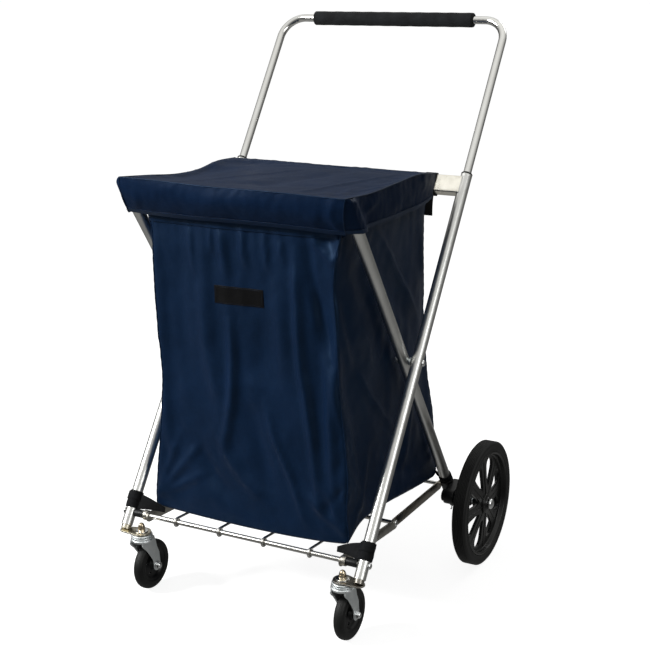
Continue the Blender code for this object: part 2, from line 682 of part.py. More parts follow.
def caster_axles():
    for side, s in sides():
        centre = Vector((s * CASTER_X, CASTER_AXLE.y, CASTER_Z))
        outer = CASTER_W / 2 + 0.0022 + 0.0024 + GAP
        dome = [(0, outer + 0.0085), (0.0030, outer + 0.0078), (0.0048, outer + 0.0055), (0.0050, outer + 0.0048)]
        flange = [(0.0066, outer + 0.0045), (0.0066, outer)]
        shank = [(CASTER_AXLE_R, outer), (CASTER_AXLE_R, -outer)]
        head = [(0.0062, -outer), (0.0062, -outer - 0.0038), (0, -outer - 0.0046)]
        profile = dome + flange + shank + head
        place(turned(f"caster_axle_{side}", profile, 12, centre), "zinc")


def caster_wheels():
    half = CASTER_W / 2
    for side, s in sides():
        centre = Vector((s * CASTER_X, CASTER_AXLE.y, CASTER_Z))
        bead = 0.0335
        upper = [(bead, half), (CASTER_R - 0.0045, half), (CASTER_R - 0.0008, half - 0.0045), (CASTER_R, 0.002)]
        tyre = upper + [(r, -h) for r, h in upper[::-1]]
        place(turned(f"caster_tyre_{side}", tyre, CASTER_STEPS, centre, spin=pi / CASTER_STEPS), "black_rubber")
        edge, bore = bead - GAP, CASTER_AXLE_R + RUN
        boss = [(bore, half + 0.0008), (0.0105, half + 0.0008)]
        upper = boss + [(0.0115, 0.004), (0.0270, 0.004), (edge, half - 0.001)]
        hub = upper + [(r, -h) for r, h in upper[::-1]]
        place(turned(f"caster_hub_{side}", hub, CASTER_STEPS, centre, spin=pi / CASTER_STEPS), "black_plastic")


# ---- Bag, lid and straps -----------------------------------------------------------------------------
def bag():
    """The cloth bag: four walls and a floor, open at the top."""
    bm = bmesh.new()
    bmesh.ops.create_cube(bm, size=2)
    for vert in bm.verts:
        high = vert.co.z > 0
        rear = BAG_REAR_HIGH if high else BAG_REAR_LOW
        y = rear if vert.co.y > 0 else BAG_FRONT
        vert.co = Vector((BAG_X * vert.co.x, FRONT.y + y, BAG_HIGH if high else BAG_LOW))
    top = [face for face in bm.faces if face.calc_center_median().z > BAG_HIGH - 0.001]
    bmesh.ops.delete(bm, geom=top, context="FACES")
    obj = mesh_object("bag", bm)
    shell = obj.modifiers.new("cloth", "SOLIDIFY")
    shell.thickness = CLOTH
    shell.offset = -1
    shell.use_even_offset = True
    place(obj, "navy_nylon")


def lid():
    """The flap: a top panel with a skirt at the front and part of the way down both sides."""
    bm = bmesh.new()
    bmesh.ops.create_cube(bm, size=2)
    for vert in bm.verts:
        y = LID_REAR if vert.co.y > 0 else LID_FRONT
        vert.co = Vector((LID_X * vert.co.x, FRONT.y + y, LID_TOP if vert.co.z > 0 else LID_TOP - LID_SKIRT))
    cut_at = Vector((0, FRONT.y + LID_SKIRT_REAR, 0))
    bmesh.ops.bisect_plane(bm, geom=bm.verts[:] + bm.edges[:] + bm.faces[:], plane_co=cut_at, plane_no=(0, 1, 0))
    drop = []
    for face in bm.faces:
        middle = face.calc_center_median()
        below = middle.z < LID_TOP - 0.001
        behind = middle.y > cut_at.y
        floor = abs(face.normal.z) > 0.5 and below
        if floor or (below and behind):
            drop.append(face)
    bmesh.ops.delete(bm, geom=drop, context="FACES")
    obj = mesh_object("bag_lid", bm)
    shell = obj.modifiers.new("cloth", "SOLIDIFY")
    shell.thickness = CLOTH
    shell.offset = -1
    shell.use_even_offset = True
    place(obj, "navy_nylon")


def front_straps():
    """A webbing sleeve round each long tube's foot with a tail to the bag's bottom corner."""
    for side, s in sides():
        low = at_x(FRONT + ALONG * STRAP_LOW, s * LONG_X)
        high = at_x(FRONT + ALONG * STRAP_HIGH, s * LONG_X)
        strap = rod(f"front_strap_{side}", low, high, TUBE_R + GAP + STRAP_T, 20)
        tail_low = Vector((s * 0.2155, FRONT.y + BAG_FRONT - 0.0026, BAG_LOW + 0.002))
        tail_high = Vector((s * (LONG_X - TUBE_R + 0.001), FRONT.y + BAG_FRONT - 0.0003, BAG_LOW + 0.026))
        if s < 0:
            tail_low.x, tail_high.x = tail_high.x, tail_low.x
        join(strap, box(f"front_strap_{side}_tail", tail_low, tail_high))
        bore = rod(f"front_strap_{side}_bore", low - ALONG * 0.01, high + ALONG * 0.01, TUBE_R + GAP, 20)
        cut(strap, bore)
        place(strap, "black_webbing")


def top_straps():
    """A hook-and-loop band round the cross plate near each end, with a tail hanging to the bag."""
    middle = FRONT + ALONG * (PLATE_LOW + PLATE_HIGH) / 2
    w, d = (PLATE_HIGH - PLATE_LOW) / 2 + 0.0005, PLATE_DEPTH / 2 + 0.0005
    width = 0.024
    for side, s in sides():
        def ring(extra):
            corners = ((-1, -1), (1, -1), (1, 1), (-1, 1))
            return [tuple((ALONG * a * (w + extra) + ACROSS * b * (d + extra))[1:]) for a, b in corners]

        centre = at_x(middle, s * 0.190)
        band = curve_to_mesh(outline(f"top_strap_{side}", ring(STRAP_T), width, centre))
        low = (s * 0.190 - width / 2, middle.y - 0.0245, 0.708)
        high = (s * 0.190 + width / 2, middle.y - 0.0225, middle.z - 0.004)
        join(band, box(f"top_strap_{side}_tail", low, high))
        hole = curve_to_mesh(outline(f"top_strap_{side}_hole", ring(0), width + 0.01, centre))
        cut(band, hole)
        place(band, "black_webbing")


def main():
    long_tubes()
    tube_bushes()
    top_cross_plate()
    front_bar()
    base_bolts()
    base_spacers()
    pivot_bolts()
    handle()
    rear_legs()
    front_top_bar()
    rear_brackets()
    rear_axles()
    wire_clips()
    base_rails()
    wire_grids()
    knee_nuts()
    rear_wheels()
    caster_plates()
    caster_nuts()
    caster_forks()
    caster_axles()
    caster_wheels()
    bag()
    lid()
    front_straps()
    top_straps()


main()
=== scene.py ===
"""The looks of a folding shopping trolley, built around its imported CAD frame."""

from math import atan2, cos, pi, radians, sin, sqrt

import bmesh
import bpy
import numpy as np
from mathutils import Matrix, Vector, noise
from mathutils.bvhtree import BVHTree


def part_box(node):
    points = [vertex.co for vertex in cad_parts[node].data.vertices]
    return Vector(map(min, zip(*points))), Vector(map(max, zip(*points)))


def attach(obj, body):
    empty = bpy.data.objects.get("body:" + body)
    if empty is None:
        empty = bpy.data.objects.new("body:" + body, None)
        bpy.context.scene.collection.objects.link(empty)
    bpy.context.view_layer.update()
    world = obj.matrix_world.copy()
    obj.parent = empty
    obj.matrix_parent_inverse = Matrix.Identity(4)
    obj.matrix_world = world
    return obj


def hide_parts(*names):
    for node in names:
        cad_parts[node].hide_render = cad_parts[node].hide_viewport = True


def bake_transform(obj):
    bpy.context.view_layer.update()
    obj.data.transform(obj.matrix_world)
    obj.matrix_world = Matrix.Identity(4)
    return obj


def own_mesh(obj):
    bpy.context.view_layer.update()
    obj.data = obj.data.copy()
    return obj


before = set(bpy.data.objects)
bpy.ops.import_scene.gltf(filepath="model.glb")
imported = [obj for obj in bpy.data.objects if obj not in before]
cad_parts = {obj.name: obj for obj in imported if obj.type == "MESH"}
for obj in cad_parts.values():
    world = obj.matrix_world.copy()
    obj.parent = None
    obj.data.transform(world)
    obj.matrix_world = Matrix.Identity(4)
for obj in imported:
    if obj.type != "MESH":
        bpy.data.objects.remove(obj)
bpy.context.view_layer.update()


def middle(node):
    low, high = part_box(node)
    return (low + high) / 2


def at_x(point, x):
    return Vector((x, point.y, point.z))


def mm(*points):
    """Points written in millimetres, in metres."""
    return [tuple(c / 1000 for c in point) for point in points]


X, Y, Z = Vector((1, 0, 0)), Vector((0, 1, 0)), Vector((0, 0, 1))
SAME_POINT = 0.000002
FLOOR_Z = -0.0008  # just under the round tyres, which dip below the CAD's flats

# ---- Places, read from the frame, and the tubes' sizes ----------------------------------------------
LONG_X = middle("long_tube_R").x
LEG_X = middle("rear_leg_R").x
TUBE_R = 0.0111
TUBE_WALL = 0.0012
HANDLE_R = 0.00795
FRONT = at_x(middle("front_bar"), 0)
CROSS = at_x(middle("pivot_spacer_R"), 0)
ALONG = (CROSS - FRONT).normalized()
ACROSS = Vector((0, -ALONG.z, ALONG.y))
KNEE = at_x(middle("knee_nut_R"), 0)
AXLE = at_x(middle("rear_tyre_R"), 0)
CASTER = middle("caster_tyre_R")
CASTER_X = CASTER.x
STEM = middle("caster_nut_R")
GRIP = at_x(middle("handle_grip"), 0)
LEG_LEAN = radians(57.8)
DOWN_LEG = Vector((0, cos(LEG_LEAN), -sin(LEG_LEAN)))
REAR = CROSS + DOWN_LEG * 0.4028
SIDES = (("L", -1), ("R", 1))
RAIL_X, REAR_RAIL_X = 0.2133, 0.2098  # the middle planes of the base's flat rails
RAIL_R = 0.010  # of their round ends


# ---- Camera, light and floor ------------------------------------------------------------------------
def aim_camera():
    azimuth, elevation, roll = radians(29.01), radians(16.87), radians(-1.34)
    back = Vector((sin(azimuth) * cos(elevation), -cos(azimuth) * cos(elevation), sin(elevation)))
    right = Vector((cos(azimuth), sin(azimuth), 0))
    up = back.cross(right)
    x_axis = right * cos(roll) + up * sin(roll)
    y_axis = up * cos(roll) - right * sin(roll)
    data = bpy.data.cameras.new("camera")
    data.lens, data.sensor_width = 72.43, 36
    data.clip_start, data.clip_end = 0.05, 50
    camera = linked("camera", data)
    turn = Matrix((x_axis, y_axis, back)).transposed().to_4x4()
    camera.matrix_world = Matrix.Translation((1.23493, -2.20436, 1.25387)) @ turn
    bpy.context.scene.camera = camera


def area_light(name, place, target, size, power):
    data = bpy.data.lights.new(name, "AREA")
    data.shape, data.size, data.size_y = "RECTANGLE", size[0], size[1]
    data.energy = power
    light = linked(name, data)
    place, target = Vector(place), Vector(target)
    turn = (target - place).to_track_quat("-Z", "Y").to_matrix().to_4x4()
    light.matrix_world = Matrix.Translation(place) @ turn
    return light


def make_world():
    """White behind the trolley; round it a bright ceiling over a darker room, for the metal to mirror."""
    world = bpy.data.worlds.new("studio")
    bpy.context.scene.world = world
    world.use_nodes = True
    tree = world.node_tree
    seen = tree.nodes["Background"]
    seen.inputs["Color"].default_value = (1, 1, 1, 1)
    room = tree.nodes.new("ShaderNodeBackground")
    place = tree.nodes.new("ShaderNodeTexCoord")
    split = tree.nodes.new("ShaderNodeSeparateXYZ")
    ramp = tree.nodes.new("ShaderNodeValToRGB")
    path = tree.nodes.new("ShaderNodeLightPath")
    mix = tree.nodes.new("ShaderNodeMixShader")
    stops = ((0.0, 0.30), (0.42, 0.10), (0.56, 0.16), (0.72, 0.50), (1.0, 1.0))
    for i, (position, level) in enumerate(stops):
        element = ramp.color_ramp.elements[i] if i < 2 else ramp.color_ramp.elements.new(position)
        element.position, element.color = position, (level, level, level * 0.98, 1)
    height = tree.nodes.new("ShaderNodeMapRange")
    height.inputs["From Min"].default_value = -1
    tree.links.new(place.outputs["Generated"], split.inputs["Vector"])
    tree.links.new(split.outputs["Z"], height.inputs["Value"])
    tree.links.new(height.outputs["Result"], ramp.inputs["Fac"])
    tree.links.new(ramp.outputs["Color"], room.inputs["Color"])
    fill = tree.nodes.new("ShaderNodeMapRange")
    fill.inputs["To Min"].default_value, fill.inputs["To Max"].default_value = 1.0, 0.26
    tree.links.new(path.outputs["Is Diffuse Ray"], fill.inputs["Value"])
    tree.links.new(fill.outputs["Result"], room.inputs["Strength"])
    tree.links.new(path.outputs["Is Camera Ray"], mix.inputs["Fac"])
    tree.links.new(room.outputs["Background"], mix.inputs[1])
    tree.links.new(seen.outputs["Background"], mix.inputs[2])
    tree.links.new(mix.outputs["Shader"], tree.nodes["World Output"].inputs["Surface"])


def make_studio():
    make_world()
    key = (-2.3, -2.1, 2.3)  # a small light for the cloth's shading, and a broad one that only shines
    area_light("key", key, (0, 0, 0.5), (0.6, 0.6), 135).visible_glossy = False
    area_light("key_shine", key, (0, 0, 0.5), (1.5, 1.5), 95).visible_diffuse = False
    area_light("side", (2.6, -1.2, 1.5), (0, 0, 0.5), (0.9, 1.9), 21).visible_diffuse = False
    area_light("back", (0.8, 2.6, 2.2), (0, 0, 0.6), (1.6, 0.6), 11)
    bm = bmesh.new()
    bmesh.ops.create_grid(bm, x_segments=1, y_segments=1, size=60)
    floor = linked("floor", written(bm))
    floor.location.z = FLOOR_Z
    floor.visible_glossy = False
    paint = bpy.data.materials.new("floor_white")
    paint.use_nodes = True
    shader = paint.node_tree.nodes["Principled BSDF"]
    shader.inputs["Base Color"].default_value = (0.42, 0.42, 0.418, 1)
    shader.inputs["Roughness"].default_value = 0.95
    shader.inputs["Emission Color"].default_value = (1, 1, 1, 1)
    path = paint.node_tree.nodes.new("ShaderNodeLightPath")
    glow = paint.node_tree.nodes.new("ShaderNodeMath")
    glow.operation = "MULTIPLY"
    glow.inputs[1].default_value = 0.90
    paint.node_tree.links.new(path.outputs["Is Camera Ray"], glow.inputs[0])
    paint.node_tree.links.new(glow.outputs["Value"], shader.inputs["Emission Strength"])
    floor.data.materials.append(paint)
    bpy.context.scene.view_settings.view_transform = "Standard"


# ---- Materials --------------------------------------------------------------------------------------
class Paint:
    """A Principled material with short calls for the nodes that feed it."""

    def __init__(self, name, colour, roughness, metallic=0.0):
        self.material = bpy.data.materials.new(name)
        self.material.use_nodes = True
        self.tree = self.material.node_tree
        self.shader = self.tree.nodes["Principled BSDF"]
        self.shader.inputs["Base Color"].default_value = (*colour, 1)
        self.shader.inputs["Roughness"].default_value = roughness
        self.shader.inputs["Metallic"].default_value = metallic
        self.coordinates = self.tree.nodes.new("ShaderNodeTexCoord")

    def node(self, kind, **inputs):
        made = self.tree.nodes.new(kind)
        for key, value in inputs.items():
            target = made.inputs[key.replace("_", " ")]
            if isinstance(value, bpy.types.NodeSocket):
                self.tree.links.new(value, target)
            else:
                target.default_value = value
        return made

    def link(self, socket, name):
        self.tree.links.new(socket, self.shader.inputs[name])

    def stretched(self, *scale):
        """The piece's UVs, scaled."""
        return self.node(
            "ShaderNodeMapping", Vector=self.coordinates.outputs["UV"], Scale=scale,
        ).outputs["Vector"]

    def noise(self, scale, detail=4.0, roughness=0.55, vector=None):
        vector = vector or self.coordinates.outputs["Object"]
        return self.node(
            "ShaderNodeTexNoise", Vector=vector, Scale=scale, Detail=detail, Roughness=roughness,
        ).outputs["Fac"]

    def ramp(self, factor, low, high, colour_low, colour_high):
        made = self.node("ShaderNodeValToRGB", Fac=factor)
        first, last = made.color_ramp.elements
        first.position, last.position = low, high
        first.color, last.color = (*colour_low, 1), (*colour_high, 1)
        return made.outputs["Color"]

    def range(self, factor, low, high, to_low, to_high):
        made = self.tree.nodes.new("ShaderNodeMapRange")
        self.tree.links.new(factor, made.inputs["Value"])
        for key, value in (("From Min", low), ("From Max", high), ("To Min", to_low), ("To Max", to_high)):
            made.inputs[key].default_value = value
        return made.outputs["Result"]

    def maths(self, operation, a, b):
        made = self.tree.nodes.new("ShaderNodeMath")
        made.operation = operation
        for target, value in zip(made.inputs, (a, b)):
            if isinstance(value, bpy.types.NodeSocket):
                self.tree.links.new(value, target)
            else:
                target.default_value = value
        return made.outputs["Value"]

    def bump(self, height, distance, strength):
        made = self.node("ShaderNodeBump", Height=height, Distance=distance, Strength=strength)
        self.link(made.outputs["Normal"], "Normal")

    def total(self, *terms):
        """The sum of (socket, weight) terms."""
        whole = None
        for socket, weight in terms:
            part = self.maths("MULTIPLY", socket, weight)
            whole = part if whole is None else self.maths("ADD", whole, part)
        return whole

    def settings(self, **values):
        """Sets the shader's own sockets, named with underscores for spaces."""
        for key, value in values.items():
            self.shader.inputs[key.replace("_", " ")].default_value = value


def drawn_metal(name, colour, dull, roughness, grain=0.00001):
    """Drawn tube or bar: faint lines along its length (UV's v runs round it), and a little mottling."""
    paint = Paint(name, colour, roughness, 1.0)
    lines = paint.noise(1.0, 3.0, 0.6, paint.stretched(3.0, 260.0, 1.0))
    cloud = paint.noise(26.0, 3.0, 0.5)
    paint.link(paint.ramp(paint.total((lines, 0.5), (cloud, 0.5)), 0.35, 0.65, dull, colour), "Base Color")
    paint.link(paint.range(lines, 0.3, 0.7, roughness * 0.8, roughness * 1.3), "Roughness")
    paint.bump(lines, grain, 0.06)
    return paint.material


def cast_metal(name, colour, dull, roughness, scale=60.0):
    """Plated or pressed metal with soft clouds and fine pits."""
    paint = Paint(name, colour, roughness, 1.0)
    cloud = paint.noise(scale, 4.0, 0.6)
    fine = paint.noise(scale * 14, 3.0, 0.6)
    paint.link(paint.ramp(cloud, 0.35, 0.65, dull, colour), "Base Color")
    paint.link(paint.range(cloud, 0.3, 0.7, roughness * 0.75, roughness * 1.35), "Roughness")
    paint.bump(fine, 0.00004, 0.35)
    return paint.material


def moulded(name, colour, pale, roughness, scale=300.0, depth=0.00012, specular=0.3):
    """Moulded plastic or rubber: fine texture, soft blotches of dust and shine."""
    paint = Paint(name, colour, roughness)
    cloud = paint.noise(18.0, 4.0, 0.6)
    fine = paint.noise(scale, 3.0, 0.6)
    paint.link(paint.ramp(cloud, 0.35, 0.72, colour, pale), "Base Color")
    paint.link(paint.range(cloud, 0.3, 0.7, roughness * 0.85, roughness * 1.2), "Roughness")
    paint.bump(fine, depth, 0.4)
    paint.settings(Specular_IOR_Level=specular)
    return paint.material


def foam():
    paint = Paint("grip_foam", (0.010, 0.011, 0.012), 0.85)
    paint.settings(Specular_IOR_Level=0.2, Sheen_Weight=0.05)
    pores = paint.node("ShaderNodeTexVoronoi", Vector=paint.coordinates.outputs["Object"], Scale=620.0)
    cloud = paint.noise(40.0, 4.0, 0.6)
    paint.link(paint.ramp(cloud, 0.3, 0.7, (0.0075, 0.0080, 0.0090), (0.017, 0.019, 0.021)), "Base Color")
    paint.bump(paint.total((pores.outputs["Distance"], 1.0), (cloud, 0.6)), 0.0005, 0.5)
    return paint.material


def weave(name, colour, pale, roughness, count=900.0, sheen=0.25, specular=0.2, tint=(1, 1, 1)):
    """Plain-woven cloth: two crossing sets of threads, a slub here and there, and soft blotches."""
    paint = Paint(name, colour, roughness)
    split = paint.node("ShaderNodeSeparateXYZ", Vector=paint.coordinates.outputs["UV"])
    warp = paint.maths("SINE", paint.maths("MULTIPLY", split.outputs["X"], count * 2 * pi), 0.0)
    weft = paint.maths("SINE", paint.maths("MULTIPLY", split.outputs["Y"], count * 2 * pi), 0.0)
    threads = paint.maths("MULTIPLY", warp, weft)
    slub = paint.noise(1.0, 3.0, 0.6, paint.stretched(60, 900, 1))
    slub_b = paint.noise(1.0, 3.0, 0.6, paint.stretched(900, 60, 1))
    cloud = paint.noise(9.0, 4.0, 0.6)
    tone = paint.total((slub, 0.35), (slub_b, 0.35), (cloud, 0.30), (threads, 0.03))
    paint.link(paint.ramp(tone, 0.38, 0.64, colour, pale), "Base Color")
    paint.link(paint.range(tone, 0.35, 0.65, roughness * 1.1, roughness * 0.88), "Roughness")
    paint.bump(paint.total((threads, 0.5), (slub, 1.0), (slub_b, 1.0)), 0.00012, 0.5)
    paint.settings(Sheen_Weight=sheen, Sheen_Roughness=0.4, Sheen_Tint=(0.55, 0.62, 0.9, 1))
    paint.settings(Specular_IOR_Level=specular, Specular_Tint=(*tint, 1))
    return paint.material


TUBE = drawn_metal("tube_steel", (0.72, 0.72, 0.70), (0.60, 0.60, 0.58), 0.33)
CHROME = drawn_metal("handle_chrome", (0.84, 0.84, 0.82), (0.78, 0.77, 0.74), 0.09, 0.000004)
PLATE = cast_metal("cross_plate_metal", (0.90, 0.87, 0.78), (0.82, 0.79, 0.70), 0.30)
ZINC = cast_metal("zinc_plate", (0.66, 0.70, 0.71), (0.52, 0.56, 0.57), 0.30)
BRIGHT = cast_metal("bright_fastener", (0.82, 0.83, 0.83), (0.70, 0.71, 0.71), 0.14)
BRASS = cast_metal("yellow_nut", (0.66, 0.57, 0.42), (0.50, 0.42, 0.30), 0.22)
RAIL = cast_metal("rail_steel_dark", (0.50, 0.48, 0.43), (0.35, 0.335, 0.30), 0.33)
RAIL_REAR = cast_metal("rail_steel_brown", (0.36, 0.325, 0.27), (0.21, 0.19, 0.155), 0.30)
# One metal for both caster plates: the left plate is painted lighter as if lit, the right plate darker with
# painted shade.
CASTER_PLATES_LIT_AND_SHADED = {
    "L": cast_metal("caster_plate_painted_light", (0.62, 0.58, 0.46), (0.45, 0.42, 0.34), 0.30),
    "R": cast_metal("caster_plate_painted_shade", (0.36, 0.34, 0.30), (0.24, 0.225, 0.20), 0.36),
}
FORK = cast_metal("fork_zinc", (0.84, 0.87, 0.87), (0.74, 0.78, 0.79), 0.42, 40.0)
WIRE = drawn_metal("wire_bright", (0.74, 0.73, 0.70), (0.60, 0.59, 0.56), 0.20)
PLASTIC = moulded("black_moulding", (0.0045, 0.0048, 0.0052), (0.010, 0.011, 0.012), 0.38)
RUBBER = moulded("tyre_rubber", (0.0062, 0.0065, 0.0068), (0.014, 0.0145, 0.014), 0.50, 240.0, 0.0002)
GLOSS = moulded(
    "wheel_moulding", (0.0045, 0.0048, 0.0048), (0.0085, 0.009, 0.009), 0.25, 420.0, 0.00005, 0.42,
)
FOAM = foam()
NYLON = weave(
    "navy_weave", (0.0024, 0.0092, 0.0275), (0.0050, 0.0170, 0.0500), 0.42, sheen=0.01, specular=0.30,
    tint=(0.30, 0.58, 1.0),
)
# The bag's navy painted a little lighter for the lid: painted light, making up for the key light falling less
# on the lid's front.
LID_NYLON_PAINTED_LIGHT = weave(
    "lid_weave_painted_light", (0.0026, 0.0098, 0.0300), (0.0050, 0.0170, 0.0510), 0.46, sheen=0.01, specular=0.08,
    tint=(0.5, 0.7, 1.0),
)
THREAD = weave("navy_thread", (0.006, 0.013, 0.032), (0.012, 0.024, 0.056), 0.5, 300.0, sheen=0.05)
VELCRO = moulded("hook_and_loop", (0.0030, 0.0032, 0.0036), (0.008, 0.0085, 0.009), 0.9, 900.0, 0.0005)
WEBBING = weave(
    "black_webbing_weave", (0.0035, 0.0040, 0.0048), (0.0095, 0.0105, 0.0120), 0.75, 420.0, sheen=0.03,
    specular=0.15,
)
LABEL = weave(
    "label_satin", (0.0026, 0.0026, 0.0030), (0.0060, 0.0060, 0.0066), 0.42, 1400.0, sheen=0.0, specular=0.15,
)


# ---- Mesh tools -------------------------------------------------------------------------------------
def piece(name, mesh, material, body, stands_for=(), sharp=35):
    """A visible piece made of one mesh or a list of them."""
    mesh = joined(mesh) if isinstance(mesh, list) else mesh
    mesh.name = name
    obj = linked(name, mesh)
    mesh.materials.clear()
    mesh.materials.append(material)
    mesh.shade_smooth()
    if sharp:
        mesh.set_sharp_from_angle(angle=radians(sharp))
    if body:
        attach(obj, body)
    if stands_for:
        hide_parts(*stands_for)
    return obj


def linked(name, data):
    """A new object in the scene."""
    obj = bpy.data.objects.new(name, data)
    bpy.context.scene.collection.objects.link(obj)
    return obj


def mesh_of(verts, faces, uvs=None):
    """A mesh from lists; uvs gives one (u, v) per face corner, in order."""
    mesh = bpy.data.meshes.new("mesh")
    mesh.from_pydata([tuple(v) for v in verts], [], faces)
    if uvs is not None:
        layer = mesh.uv_layers.new(name="UVMap")
        layer.data.foreach_set("uv", np.asarray(uvs, np.float32).ravel())
    return mesh


def joined(meshes):
    """Several meshes as one, with their UVs."""
    bm = bmesh.new()
    for mesh in meshes:
        bm.from_mesh(mesh)
        bpy.data.meshes.remove(mesh)
    return written(bm)


def written(bm):
    """The bmesh as a new mesh."""
    mesh = bpy.data.meshes.new("mesh")
    bm.to_mesh(mesh)
    bm.free()
    return mesh


def smooth_path(points, bend, steps=10):
    """The points with each inner corner rounded to radius bend."""
    points = [Vector(p) for p in points]
    out = [points[0]]
    for before, corner, after in zip(points, points[1:], points[2:]):
        a, b = (before - corner).normalized(), (after - corner).normalized()
        half = a.angle(b) / 2
        reach = min(
            bend / max(np.tan(half), 1e-6), (before - corner).length * 0.49, (after - corner).length * 0.49,
        )
        radius = reach * np.tan(half)
        centre = corner + (a + b).normalized() * (radius / sin(half))
        start, end = corner + a * reach - centre, corner + b * reach - centre
        turn_axis, turn = start.cross(end).normalized(), start.angle(end)
        for i in range(steps + 1):
            out.append(centre + Matrix.Rotation(turn * i / steps, 3, turn_axis) @ start)
    out.append(points[-1])
    return out


def sweep(points, radius, sides=24, wall=0.0):
    """A round bar along points, or with wall a tube whose ends are open and rounded at the rim."""
    points = [Vector(p) for p in points]
    radii = radius if isinstance(radius, (list, tuple)) else [radius] * len(points)
    tangents = []
    for i in range(len(points)):
        a, b = points[max(i - 1, 0)], points[min(i + 1, len(points) - 1)]
        tangents.append((b - a).normalized())
    normal = tangents[0].orthogonal().normalized()
    rings = []
    run = 0.0
    for i, (point, tangent) in enumerate(zip(points, tangents)):
        if i:
            normal = (tangents[i - 1].rotation_difference(tangent) @ normal).normalized()
            run += (point - points[i - 1]).length
        rings.append((point, tangent, normal, tangent.cross(normal), radii[i], run))
    first, last = rings[0], rings[-1]
    rim = min(0.0004, radii[0] * 0.3)

    def extra(ring, shift, inset):
        point, tangent, n, b, r, at = ring
        return (point + tangent * shift, tangent, n, b, max(r - inset, 0.0), at + shift)

    if wall:
        inner = [
            extra(first, 0.03, wall), extra(first, rim, wall), extra(first, 0, wall * 0.6),
            extra(first, 0, rim),
        ]
        outer = [
            extra(last, 0, rim), extra(last, 0, wall * 0.6), extra(last, -rim, wall),
            extra(last, -0.03, wall),
        ]
    else:
        inner = [extra(first, 0, radii[0]), extra(first, 0, rim)]
        outer = [extra(last, 0, rim), extra(last, 0, radii[-1])]
    first, last = extra(first, rim, 0), extra(last, -rim, 0)
    rings = inner + [first] + rings[1:-1] + [last] + outer
    verts, faces, uvs = [], [], []
    for point, _, n, b, r, _ in rings:
        for k in range(sides):
            a = 2 * pi * k / sides
            verts.append(point + n * (r * cos(a)) + b * (r * sin(a)))
    for i in range(len(rings) - 1):
        for k in range(sides):
            m = (k + 1) % sides
            faces.append((i * sides + k, i * sides + m, (i + 1) * sides + m, (i + 1) * sides + k))
            u0, u1 = rings[i][5], rings[i + 1][5]
            v0, v1 = k / sides, (k + 1) / sides
            uvs += [(u0, v0), (u0, v1), (u1, v1), (u1, v0)]
    mesh = mesh_of(verts, faces, uvs)
    return cleaned(mesh)


def cleaned(mesh):
    """The mesh without doubled points and slivers, facing outward."""
    bm = bmesh.new()
    bm.from_mesh(mesh)
    bmesh.ops.remove_doubles(bm, verts=bm.verts, dist=SAME_POINT)
    bmesh.ops.dissolve_degenerate(bm, edges=bm.edges, dist=SAME_POINT)
    bmesh.ops.recalc_face_normals(bm, faces=bm.faces)
    bm.to_mesh(mesh)
    bm.free()
    return mesh


def filleted(profile, radius, steps=3):
    """A profile of (r, h) with its corners rounded."""
    points = [Vector((r, h)) for r, h in profile]
    count = len(points)
    out = []
    for i, corner in enumerate(points):
        before, after = points[i - 1], points[(i + 1) % count]
        a, b = before - corner, after - corner
        reach = min(radius, a.length * 0.45, b.length * 0.45)
        if reach < 1e-6 or a.angle(b, pi) > pi * 0.93:
            out.append(corner)
            continue
        start, end = corner + a.normalized() * reach, corner + b.normalized() * reach
        for k in range(steps + 1):
            t = k / steps
            out.append(start * (1 - t) ** 2 + corner * 2 * t * (1 - t) + end * t * t)
    return [tuple(p) for p in out]


def plain_ring(inner, outer, half):
    """The (r, h) profile of a plain ring."""
    return [(inner, half), (outer, half), (outer, -half), (inner, -half)]


def mirrored(upper):
    """A profile's upper half with its reflection below."""
    return upper + [(r, -h) for r, h in upper[::-1]]


def lathe(profile, steps, centre, axis=X):
    """A profile of (r, h) turned round axis through centre."""
    w = Vector(axis).normalized()
    u = w.orthogonal().normalized() if abs(w.x) < 0.9 else Z
    v = w.cross(u)
    verts, faces, uvs = [], [], []
    count = len(profile)
    for r, h in profile:
        for k in range(steps):
            a = 2 * pi * k / steps
            verts.append(Vector(centre) + w * h + u * (r * cos(a)) + v * (r * sin(a)))
    runs = [0.0]
    for i in range(count):
        a, b = profile[i], profile[(i + 1) % count]
        runs.append(runs[-1] + sqrt((a[0] - b[0]) ** 2 + (a[1] - b[1]) ** 2))
    for i in range(count):
        j = (i + 1) % count
        for k in range(steps):
            m = (k + 1) % steps
            faces.append((i * steps + k, j * steps + k, j * steps + m, i * steps + m))
            v0, v1 = k / steps, (k + 1) / steps
            uvs += [(runs[i], v0), (runs[i + 1], v0), (runs[i + 1], v1), (runs[i], v1)]
    return cleaned(mesh_of(verts, faces, uvs))


def plate(outline, thickness, origin, u_axis, v_axis, bevel=0.0004, segments=2):
    """An outline of (u, v) as a flat plate about origin, with bevelled edges."""
    u, v = Vector(u_axis), Vector(v_axis)
    w = u.cross(v).normalized()
    bm = bmesh.new()
    low = [bm.verts.new(Vector(origin) + u * a + v * b - w * (thickness / 2)) for a, b in outline]
    high = [bm.verts.new(Vector(origin) + u * a + v * b + w * (thickness / 2)) for a, b in outline]
    bm.faces.new(low[::-1])
    bm.faces.new(high)
    count = len(outline)
    for i in range(count):
        j = (i + 1) % count
        bm.faces.new((low[i], low[j], high[j], high[i]))
    bmesh.ops.recalc_face_normals(bm, faces=bm.faces)
    if bevel:
        rims = [e for e in bm.edges if abs((e.verts[0].co - e.verts[1].co).normalized().dot(w)) < 0.5]
        bmesh.ops.bevel(bm, geom=rims, offset=bevel, segments=segments, affect="EDGES", profile=0.5)
    return box_uvs(written(bm))


